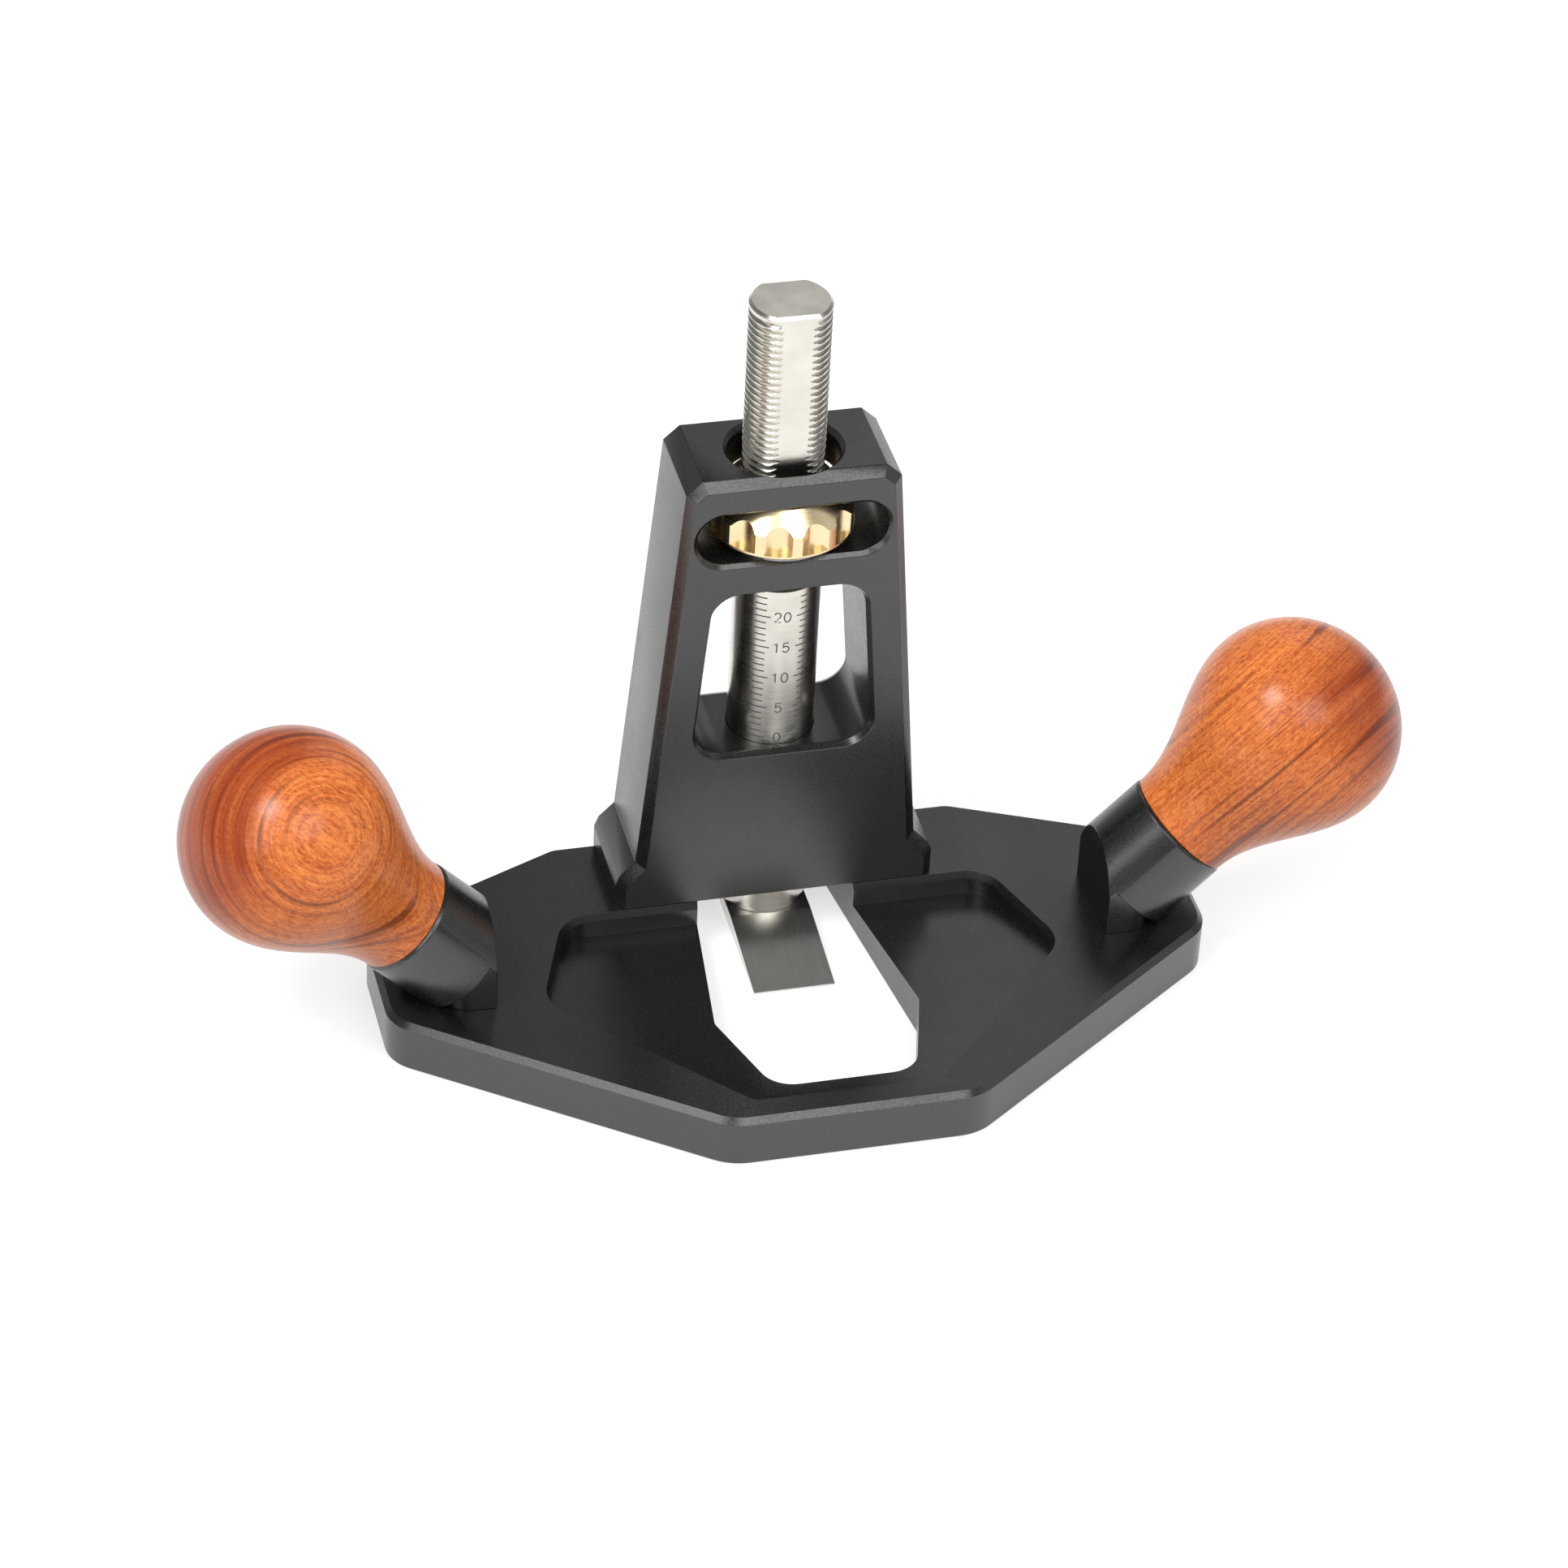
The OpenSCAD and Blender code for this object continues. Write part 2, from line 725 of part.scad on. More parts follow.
module cutter_blade() {
    color(tool_steel)
        from_post()
            difference() {
                intersection() {
                    union() {
                        cylinder(r = blade_half, h = post_bottom);
                        translate([-blade_half, -blade_reach, 0])
                            cube([2 * blade_half, blade_reach, post_bottom]);
                    }
                    side_to_side(2 * blade_half)
                        polygon([
                            [-blade_reach, blade_lift],
                            [blade_half, blade_lift],
                            [blade_half, post_bottom],
                            [-post_r, post_bottom],
                            [-blade_reach, blade_lift + blade_lip]]);
                }
                cylinder(r = blade_screw_r + seat_gap, h = post_bottom + over);
                translate([0, 0, blade_lift])
                    cylinder(r1 = blade_head_r + seat_gap, r2 = blade_screw_r + seat_gap, h = blade_head_h);
                translate([0, blade_dowel_y, 0])
                    cylinder(r = blade_dowel_r + seat_gap, h = post_bottom + over);
            }
}

module blade_screw() {
    color(steel)
        from_post()
            translate([0, 0, blade_lift])
                difference() {
                    union() {
                        cylinder(r1 = blade_head_r, r2 = blade_screw_r, h = blade_head_h);
                        cylinder(r = blade_screw_r, h = blade_t + blade_screw_grip);
                    }
                    translate([0, 0, -over])
                        cylinder(r = hex_r(2 * blade_screw_r), h = over + blade_head_h, $fn = 6);
                }
}

module blade_dowel() {
    color(steel)
        from_post()
            translate([0, blade_dowel_y, blade_lift])
                cylinder(r = blade_dowel_r, h = blade_t + blade_dowel_grip);
}

// Upright column of the socket's foot, with rounded outer corners; it runs past the socket's inner face
module foot_column() {
    translate([0, -handle_front, base_t - over])
        linear_extrude(2 * rim_rise)
            polygon(concat(
                corner_arc([socket_inner, -socket_foot_half],
                           [socket_outer, -socket_foot_half, socket_foot_r],
                           [socket_outer, socket_foot_half]),
                corner_arc([socket_outer, -socket_foot_half],
                           [socket_outer, socket_foot_half, socket_foot_r],
                           [socket_inner, socket_foot_half]),
                [[socket_inner - over, socket_foot_half], [socket_inner - over, -socket_foot_half]]));
}

// Round of the socket: its full width near the knob, and below that no wider than the foot
module socket_round() {
    intersection() {
        on_handle()
            translate([0, 0, -2 * rim_rise])
                cylinder(r = socket_r, h = 2 * rim_rise - socket_bevel);
        union() {
            on_handle()
                translate([-2 * socket_r, -2 * socket_r, -socket_len])
                    cube([4 * socket_r, 4 * socket_r, socket_len + over]);
            foot_column();
        }
    }
    on_handle()
        translate([0, 0, -socket_bevel])
            cylinder(r1 = socket_r, r2 = socket_r - socket_bevel, h = socket_bevel);
}

// Foot of the socket, from the base up to the middle of its round
module socket_foot() {
    intersection() {
        foot_column();
        on_handle()
            translate([0, -2 * socket_r, -4 * rim_rise])
                cube([4 * rim_rise, 4 * socket_r, 4 * rim_rise]);
    }
}

// Angled socket, cut off upright on its inner side and flat on the base
module handle_socket(side) {
    color(black)
        from_post()
            handed(side)
                difference() {
                    intersection() {
                        union() {
                            socket_round();
                            socket_foot();
                        }
                        translate([socket_inner, -handle_front - 2 * socket_r, base_t])
                            cube([2 * inner_run, 4 * socket_r, 2 * rim_rise]);
                    }
                    on_handle()
                        translate([0, 0, -stud_in_socket - seat_gap])
                            cylinder(r = stud_r + seat_gap, h = stud_in_socket + seat_gap + over);
                    for (sy = [-1, 1])
                        translate([socket_screw_x, -handle_front + sy * socket_screw_y, base_t - over])
                            cylinder(r = socket_screw_d / 2 + seat_gap, h = socket_screw_grip + over + seat_gap);
                }
}

module socket_screws(side) {
    color(steel)
        from_post()
            handed(side)
                for (sy = [-1, 1])
                    translate([socket_screw_x, -handle_front + sy * socket_screw_y, screw_seat])
                        cap_screw(socket_screw_d, base_t - screw_seat + socket_screw_grip);
}

module knob_stud(side) {
    color(steel)
        from_post()
            handed(side)
                on_handle()
                    translate([0, 0, -stud_in_socket])
                        cylinder(r = stud_r, h = stud_in_socket + stud_in_knob);
}

module knob_insert(side) {
    color(brass)
        from_post()
            handed(side)
                on_handle()
                    difference() {
                        cylinder(r = insert_r, h = insert_len);
                        translate([0, 0, -over])
                            cylinder(r = stud_r + seat_gap, h = insert_len + 2 * over);
                    }
}

module knob(side) {
    rise = [for (i = [0 : knob_steps]) knob_wide * i / knob_steps];
    cap = [for (i = [1 : knob_steps]) knob_wide + (knob_len - knob_wide) * sin(90 * i / knob_steps)];
    bore_len = max(insert_len, stud_in_knob) + seat_gap;
    color(wood)
        from_post()
            handed(side)
                on_handle()
                    difference() {
                        rotate_extrude()
                            polygon(concat([[0, 0]], [for (s = concat(rise, cap)) [knob_at(s), s]]));
                        translate([0, 0, -over])
                            cylinder(r = insert_r + seat_gap, h = bore_len + over);
                    }
}

base_plate();
tower();
tower_screws();
tower_dowels();
depth_post();
adjuster_nut();
nut_washer();
cutter_blade();
blade_screw();
blade_dowel();
handle_socket(LEFT);  // left_handle_socket
handle_socket(RIGHT);  // right_handle_socket
socket_screws(LEFT);  // left_socket_screws
socket_screws(RIGHT);  // right_socket_screws
knob_stud(LEFT);  // left_knob_stud
knob_stud(RIGHT);  // right_knob_stud
knob_insert(LEFT);  // left_knob_insert
knob_insert(RIGHT);  // right_knob_insert
knob(LEFT);  // left_knob
knob(RIGHT);  // right_knob
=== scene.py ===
"""Dresses the hand router plane: finishes, smooth turned pieces, the engraved scale and a studio.

Every length is in metres in the part's own frame: X to the right-hand knob, -Y to the front, Z up from
the sole.
"""

from __future__ import annotations

import json
import logging
import math
from dataclasses import dataclass
from enum import Enum

import bmesh
import bpy
import numpy as np
from mathutils import Matrix, Vector

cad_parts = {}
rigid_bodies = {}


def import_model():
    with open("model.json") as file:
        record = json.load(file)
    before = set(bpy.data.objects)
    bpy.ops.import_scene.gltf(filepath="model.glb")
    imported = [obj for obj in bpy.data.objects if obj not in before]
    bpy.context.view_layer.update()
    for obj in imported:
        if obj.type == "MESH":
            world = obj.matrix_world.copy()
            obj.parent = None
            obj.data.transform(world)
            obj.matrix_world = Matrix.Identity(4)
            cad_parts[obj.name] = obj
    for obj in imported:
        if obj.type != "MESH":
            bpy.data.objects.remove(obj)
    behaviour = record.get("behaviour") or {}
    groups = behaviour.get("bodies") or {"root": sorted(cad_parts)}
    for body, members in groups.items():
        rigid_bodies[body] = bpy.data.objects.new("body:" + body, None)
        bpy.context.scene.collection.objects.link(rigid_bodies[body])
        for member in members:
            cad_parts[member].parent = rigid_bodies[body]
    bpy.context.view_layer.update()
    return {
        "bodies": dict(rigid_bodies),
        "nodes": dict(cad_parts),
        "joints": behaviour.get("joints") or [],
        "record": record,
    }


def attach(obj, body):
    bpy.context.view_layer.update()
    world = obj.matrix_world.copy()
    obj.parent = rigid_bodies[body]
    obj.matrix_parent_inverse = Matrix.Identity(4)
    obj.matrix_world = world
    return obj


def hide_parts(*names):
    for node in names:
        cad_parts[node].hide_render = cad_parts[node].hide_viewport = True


log = logging.getLogger("router_plane")

Colour = tuple[float, float, float]
Triple = tuple[float, float, float]
Range = tuple[float, float]

MM = 0.001
PHOTO_PIXELS = 1932
POST_Y = 22.2 * MM
EDGE_SEGMENTS = 2
# Range that holds most values of a noise, their mean, and the range of a share
MIDDLE: Range = (0.3, 0.7)
MEAN = 0.5
SHARE: Range = (0.0, 1.0)


class Body(Enum):
    """Bodies of the part that pieces ride on."""

    FRAME = "frame"
    NUT = "nut"
    POST = "post"


class Slot(Enum):
    """Material slots of the record."""

    BLACK = "black_aluminium"
    POST = "post_steel"
    BLADE = "blade_steel"
    SCREW = "screw_steel"
    BRASS = "brass"
    WOOD = "knob_wood"


class Side(Enum):
    """Side of the plane that a handle is on."""

    LEFT = -1
    RIGHT = 1

    @property
    def word(self) -> str:
        """The side's name as it stands in the names of nodes."""
        return self.name.lower()


class Mix(Enum):
    """Kinds of mix node: data type, numbers of the sockets for its two sides, and number of its result."""

    VALUE = ("FLOAT", 2, 3, 0)
    COLOUR = ("RGBA", 6, 7, 2)


class Grid:
    """Closed meshes from grids of points, worked out as whole arrays."""

    @staticmethod
    def tube(points: np.ndarray) -> tuple[np.ndarray, np.ndarray, np.ndarray]:
        """Closes a stack of rings into a solid skin with a pole at each end.

        Row k is joined to row k + 1 and the last column to the first. Each end ring gets a fan to its mean.

        Args:
            points: Rings as an array of rows, columns and three coordinates, each ring counter-clockwise
                seen from the last row.

        Returns:
            Vertices, quads and triangles.
        """
        rows, cols = points.shape[:2]
        index = np.arange(rows * cols).reshape(rows, cols)
        right = np.roll(index, -1, axis=1)
        quads = np.stack([index[:-1], right[:-1], right[1:], index[1:]], axis=-1).reshape(-1, 4)
        low, high = rows * cols, rows * cols + 1
        foot = np.stack([right[0], index[0], np.full(cols, low)], axis=-1)
        head = np.stack([index[-1], right[-1], np.full(cols, high)], axis=-1)
        poles = np.stack([points[0].mean(axis=0), points[-1].mean(axis=0)])
        return np.concatenate([points.reshape(-1, 3), poles]), quads, np.concatenate([foot, head])

    @staticmethod
    def bars(corners: np.ndarray) -> tuple[np.ndarray, np.ndarray]:
        """Skins many thin bars, each carried along its own path, with flat ends.

        A bar has four corners at each step of its path. Neighbouring steps are joined by four quads, and
        the two ends are closed by one quad each.

        Args:
            corners: Array of bars, steps, four corners and three coordinates.

        Returns:
            Vertices and quads.
        """
        count, steps = corners.shape[:2]
        index = np.arange(count * steps * 4).reshape(count, steps, 4)
        turn = np.roll(index, -1, axis=2)
        sides = np.stack([index[:, :-1], turn[:, :-1], turn[:, 1:], index[:, 1:]], axis=-1)
        first = index[:, 0, ::-1].reshape(-1, 4)
        last = index[:, -1].reshape(-1, 4)
        return corners.reshape(-1, 3), np.concatenate([sides.reshape(-1, 4), first, last])

    @staticmethod
    def mesh(
        name: str, vertices: np.ndarray, quads: np.ndarray, triangles: np.ndarray | None = None
    ) -> bpy.types.Mesh:
        """Puts arrays of vertices, quads and triangles into a mesh.

        Args:
            name: Name of the mesh.
            vertices: Points, one row each.
            quads: Four indices in each row.
            triangles: Three indices in each row, or nothing.

        Returns:
            The mesh, with smooth faces.
        """
        tris = np.zeros((0, 3), int) if triangles is None else triangles
        mesh = bpy.data.meshes.new(name)
        mesh.vertices.add(len(vertices))
        mesh.vertices.foreach_set("co", vertices.astype(np.float32).ravel())
        corners = np.concatenate([quads.ravel(), tris.ravel()]).astype(np.int32)
        totals = np.concatenate([np.full(len(quads), 4), np.full(len(tris), 3)]).astype(np.int32)
        starts = np.concatenate([[0], np.cumsum(totals)[:-1]]).astype(np.int32)
        mesh.loops.add(len(corners))
        mesh.loops.foreach_set("vertex_index", corners)
        mesh.polygons.add(len(totals))
        mesh.polygons.foreach_set("loop_start", starts)
        mesh.polygons.foreach_set("loop_total", totals)
        mesh.update(calc_edges=True)
        mesh.validate()
        mesh.shade_smooth()
        return mesh


def revolve(radii: np.ndarray, heights: np.ndarray, columns: int) -> np.ndarray:
    """Turns a profile about Z: x = r cos a, y = r sin a, z = height, for equal steps of the angle a.

    Args:
        radii: Radius of each ring.
        heights: Height of each ring.
        columns: Points in each ring.

    Returns:
        Rings of points.
    """
    angle = np.linspace(0.0, math.tau, columns, endpoint=False)
    x = np.outer(radii, np.cos(angle))
    y = np.outer(radii, np.sin(angle))
    return np.stack([x, y, np.broadcast_to(heights[:, None], x.shape)], axis=-1)


def add_object(name: str, data: bpy.types.ID) -> bpy.types.Object:
    """Makes an object and links it into the scene.

    Args:
        name: Name of the object.
        data: Its mesh, lamp or camera.

    Returns:
        The object.
    """
    made = bpy.data.objects.new(name, data)
    bpy.context.scene.collection.objects.link(made)
    return made


def place(mesh: bpy.types.Mesh, name: str, body: Body, slot: Slot, *nodes: str) -> bpy.types.Object:
    """Makes a finished piece of a mesh, seats it on its body and hides the nodes that it stands for.

    Args:
        mesh: Mesh in the part's frame.
        name: Name of the piece.
        body: Body that it rides on.
        slot: Material slot that its finish comes from; not used.
        nodes: CAD nodes that it replaces.

    Returns:
        The piece.
    """
    piece = add_object(name, mesh)
    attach(piece, body.value)
    if nodes:
        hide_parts(*nodes)
    log.info("%s rides on %s with %d faces", name, body.value, len(mesh.polygons))
    return piece


def break_edges(piece: bpy.types.Object, width: float, angle: float) -> None:
    """Rounds a piece's sharp edges a little.

    Args:
        piece: Piece with whole faces.
        width: Width of the round.
        angle: Smallest turn between two faces that counts as an edge.
    """
    rounding = piece.modifiers.new("edge_round", "BEVEL")
    rounding.width = width
    rounding.segments = EDGE_SEGMENTS
    rounding.limit_method = "ANGLE"
    rounding.angle_limit = angle
    rounding.harden_normals = True


@dataclass(frozen=True)
class Noise:
    """Noise in a finish: its grains in a metre along X, Y and Z, its finer layers and its warp."""

    stretch: Triple
    detail: float = 2.0
    warp: float = 0.0


class NodeWeb:
    """Short way to write the nodes of a material or a world."""

    def __init__(self, owner: bpy.types.Material | bpy.types.World, output: str) -> None:
        """Empties the owner's nodes and adds its output.

        Args:
            owner: Material or world.
            output: Blender's name of the output node.
        """
        owner.use_nodes = True
        self.owner = owner
        self.tree = owner.node_tree
        self.tree.nodes.clear()
        self.output = self.tree.nodes.new(output)

    @classmethod
    def of_material(cls, name: str) -> NodeWeb:
        """Starts a material of this name."""
        return cls(bpy.data.materials.new(name), "ShaderNodeOutputMaterial")

    @classmethod
    def of_world(cls, name: str) -> NodeWeb:
        """Starts a world of this name."""
        return cls(bpy.data.worlds.new(name), "ShaderNodeOutputWorld")

    def add(
        self, kind: str, inputs: dict[str | int, object] | None = None, **settings: object
    ) -> bpy.types.Node:
        """Adds a node.

        Args:
            kind: Blender's name of the node.
            inputs: Values or sockets for its inputs, by name or number.
            settings: Properties of the node.

        Returns:
            The node.
        """
        node = self.tree.nodes.new(kind)
        for key, value in settings.items():
            setattr(node, key, value)
        for key, value in (inputs or {}).items():
            if isinstance(value, bpy.types.NodeSocket):
                self.tree.links.new(value, node.inputs[key])
            else:
                node.inputs[key].default_value = value
        return node

    def here(self, origin: Triple = (0.0, 0.0, 0.0)) -> bpy.types.NodeSocket:
        """Object coordinates, measured from an origin of their own.

        Args:
            origin: Place that becomes zero.

        Returns:
            Vector socket.
        """
        spot = self.add("ShaderNodeTexCoord").outputs["Object"]
        moved = self.add("ShaderNodeMapping", {"Vector": spot, "Location": origin}, vector_type="TEXTURE")
        return moved.outputs["Vector"]

    def noise(self, spot: bpy.types.NodeSocket, noise: Noise) -> bpy.types.NodeSocket:
        """Noise whose grains have their own length along each axis.

        Args:
            spot: Coordinates.
            noise: Its grains, finer layers and warp.

        Returns:
            Value socket, mostly in the middle range.
        """
        scaled = self.add("ShaderNodeVectorMath", {0: spot, 1: noise.stretch}, operation="MULTIPLY")
        texture = {
            "Vector": scaled.outputs["Vector"],
            "Scale": 1.0,
            "Detail": noise.detail,
            "Distortion": noise.warp,
        }
        return self.add("ShaderNodeTexNoise", texture).outputs["Fac"]

    def between(self, value: bpy.types.NodeSocket, source: Range, target: Range) -> bpy.types.NodeSocket:
        """Maps a value from one range to another, held at both ends."""
        ends = {"From Min": source[0], "From Max": source[1], "To Min": target[0], "To Max": target[1]}
        return self.add("ShaderNodeMapRange", {"Value": value, **ends}).outputs["Result"]

    def sums(self, operation: str, *values: float | bpy.types.NodeSocket) -> bpy.types.NodeSocket:
        """One step of arithmetic on values or sockets."""
        return self.add("ShaderNodeMath", dict(enumerate(values)), operation=operation).outputs["Value"]

    def mix(
        self, kind: Mix, share: bpy.types.NodeSocket, first: object, second: object
    ) -> bpy.types.NodeSocket:
        """Mixes two values or two colours by a share.

        Args:
            kind: What is mixed.
            share: Share of the second.
            first: Value, colour or socket.
            second: The same.

        Returns:
            Socket of the mixture.
        """
        data_type, left, right, result = kind.value
        sides = {0: share, left: first, right: second}
        return self.add("ShaderNodeMix", sides, data_type=data_type).outputs[result]

    def blend(
        self,
        share: bpy.types.NodeSocket,
        first: Colour | bpy.types.NodeSocket,
        second: Colour | bpy.types.NodeSocket,
    ) -> bpy.types.NodeSocket:
        """Mixes two colours, or sockets of them, by a share that varies over the surface."""
        sides = [(*side, 1.0) if isinstance(side, tuple) else side for side in (first, second)]
        return self.mix(Mix.COLOUR, share, *sides)

    def bump(self, height: bpy.types.NodeSocket, strength: float, depth: float) -> bpy.types.NodeSocket:
        """Normal socket of a relief of the given strength and depth in metres."""
        relief = {"Height": height, "Strength": strength, "Distance": depth}
        return self.add("ShaderNodeBump", relief).outputs["Normal"]

    def end(self, shader: bpy.types.NodeSocket) -> bpy.types.Material | bpy.types.World:
        """Links a shader to the output and gives the finished material or world."""
        self.tree.links.new(shader, self.output.inputs["Surface"])
        return self.owner

    def shine(self, inputs: dict[str | int, object]) -> bpy.types.Material:
        """Ends the web in a Principled shader and gives the material."""
        return self.end(self.add("ShaderNodeBsdfPrincipled", inputs).outputs["BSDF"])


@dataclass(frozen=True)
class BlackAnodised:
    """Bead-blasted aluminium under a black oxide: a dark body colour under a clear, fine-grained skin."""

    name: str = "black_anodised_aluminium"
    deep: Colour = (0.0045, 0.0046, 0.0049)
    pale: Colour = (0.0095, 0.0096, 0.0100)
    ior: float = 1.80
    speckle: Noise = Noise((3600.0, 3600.0, 3600.0))
    drift: Noise = Noise((90.0, 90.0, 90.0), detail=3.0)
    pale_range: Range = (0.35, 0.68)
    gloss: Range = (0.26, 0.32)
    sparkle: Range = (-0.05, 0.07)
    relief: float = 0.28
    relief_depth: float = 0.05 * MM

    def build(self) -> bpy.types.Material:
        """Makes the material: a fine speckle for colour and relief, and a slow drift of the gloss.

        Returns:
            The material.
        """
        web = NodeWeb.of_material(self.name)
        spot = web.here()
        speckle = web.noise(spot, self.speckle)
        drift = web.between(web.noise(spot, self.drift), MIDDLE, self.gloss)
        return web.shine(
            {
                "Base Color": web.blend(web.between(speckle, self.pale_range, SHARE), self.deep, self.pale),
                "Roughness": web.sums("ADD", drift, web.between(speckle, MIDDLE, self.sparkle)),
                "IOR": self.ior,
                "Normal": web.bump(speckle, self.relief, self.relief_depth),
            }
        )


@dataclass(frozen=True)
class TurnedMetal:
    """Metal turned on a lathe: fine rings round the post's axis in the gloss and the relief."""

    name: str
    colour: Colour
    shade: Colour
    gloss: Range
    rings: Noise = Noise((120.0, 120.0, 5200.0))
    cloud: Noise = Noise((260.0, 260.0, 260.0), detail=3.0)
    shade_range: Range = (0.3, 0.75)
    dull_range: Range = (0.35, 0.7)
    dull: Range = (0.0, 0.04)
    relief: float = 0.02
    relief_depth: float = 0.01 * MM

    def build(self) -> bpy.types.Material:
        """Makes the material from noise that is long round the axis and short along it.

        Returns:
            The material.
        """
        web = NodeWeb.of_material(self.name)
        spot = web.here((0.0, POST_Y, 0.0))
        ring = web.noise(spot, self.rings)
        cloud = web.noise(spot, self.cloud)
        shade = web.between(cloud, self.shade_range, SHARE)
        dull = web.between(cloud, self.dull_range, self.dull)
        return web.shine(
            {
                "Base Color": web.blend(shade, self.colour, self.shade),
                "Metallic": 1.0,
                "Roughness": web.sums("ADD", web.between(ring, MIDDLE, self.gloss), dull),
                "Normal": web.bump(ring, self.relief, self.relief_depth),
            }
        )


@dataclass(frozen=True)
class GroundSteel:
    """Tool steel ground along the cutter: long fine scratches from back to edge."""

    name: str = "ground_tool_steel"
    pale: Colour = (0.70, 0.695, 0.665)
    deep: Colour = (0.58, 0.575, 0.545)
    scratches: Noise = Noise((6500.0, 60.0, 900.0), detail=3.0)
    cloud: Noise = Noise((180.0, 120.0, 180.0), detail=3.0)
    scratch_share: Range = (0.0, 0.7)
    cloud_range: Range = (0.35, 0.7)
    cloud_share: Range = (0.0, 0.3)
    gloss: Range = (0.28, 0.38)
    relief: float = 0.04
    relief_depth: float = 0.01 * MM

    def build(self) -> bpy.types.Material:
        """Makes the material from noise that is long from front to back.

        Returns:
            The material.
        """
        web = NodeWeb.of_material(self.name)
        spot = web.here()
        scratch = web.noise(spot, self.scratches)
        cloud = web.between(web.noise(spot, self.cloud), self.cloud_range, self.cloud_share)
        share = web.sums("ADD", web.between(scratch, MIDDLE, self.scratch_share), cloud)
        return web.shine(
            {
                "Base Color": web.blend(share, self.pale, self.deep),
                "Metallic": 1.0,
                "Roughness": web.between(scratch, MIDDLE, self.gloss),
                "Normal": web.bump(scratch, self.relief, self.relief_depth),
            }
        )


@dataclass(frozen=True)
class SatinSteel:
    """Plain bright screws, studs and dowels with a satin skin."""

    name: str = "satin_screw_steel"
    pale: Colour = (0.42, 0.42, 0.43)
    deep: Colour = (0.24, 0.24, 0.25)
    cloud: Noise = Noise((900.0, 900.0, 900.0), detail=4.0)
    gloss: Range = (0.28, 0.42)

    def build(self) -> bpy.types.Material:
        """Makes the material from a fine cloud.

        Returns:
            The material.
        """
        web = NodeWeb.of_material(self.name)
        cloud = web.noise(web.here(), self.cloud)
        return web.shine(
            {
                "Base Color": web.blend(web.between(cloud, MIDDLE, SHARE), self.pale, self.deep),
                "Metallic": 1.0,
                "Roughness": web.between(cloud, MIDDLE, self.gloss),
            }
        )


@dataclass(frozen=True)
class EngravedGrey:
    """Grey fill of the engraved scale."""

    name: str = "engraved_scale_grey"
    deep: Colour = (0.07, 0.069, 0.065)
    pale: Colour = (0.13, 0.127, 0.12)
    cloud: Noise = Noise((2600.0, 2600.0, 2600.0))
    roughness: float = 0.55

    def build(self) -> bpy.types.Material:
        """Makes the material: dull grey, broken up by a fine cloud.

        Returns:
            The material.
        """
        web = NodeWeb.of_material(self.name)
        cloud = web.between(web.noise(web.here(), self.cloud), MIDDLE, SHARE)
        colour = web.blend(cloud, self.deep, self.pale)
        return web.shine({"Base Color": colour, "Roughness": self.roughness})


@dataclass(frozen=True)
class BoardCut:
    """How a knob was cut from its board.

    It has a place in the knob's skin, the direction through the growth layers there, the two depths between
    which the wood turns dark, and how dark it gets.
    """

    eye: Triple
    layers: Triple
    dark: Range
    darkness: float


BOARD_CUTS: dict[Side, BoardCut] = {
    Side.LEFT: BoardCut(
        eye=(-66.3 * MM, -7.6 * MM, 43.4 * MM),
        layers=(0.208, -0.778, 0.592),
        dark=(-1.6 * MM, -5.0 * MM),
        darkness=0.95,
    ),
    Side.RIGHT: BoardCut(
        eye=(66.0 * MM, -7.0 * MM, 41.0 * MM),
        layers=(0.565, -0.602, -0.565),
        dark=(-9.0 * MM, 0.0),
        darkness=0.90,
    ),
}


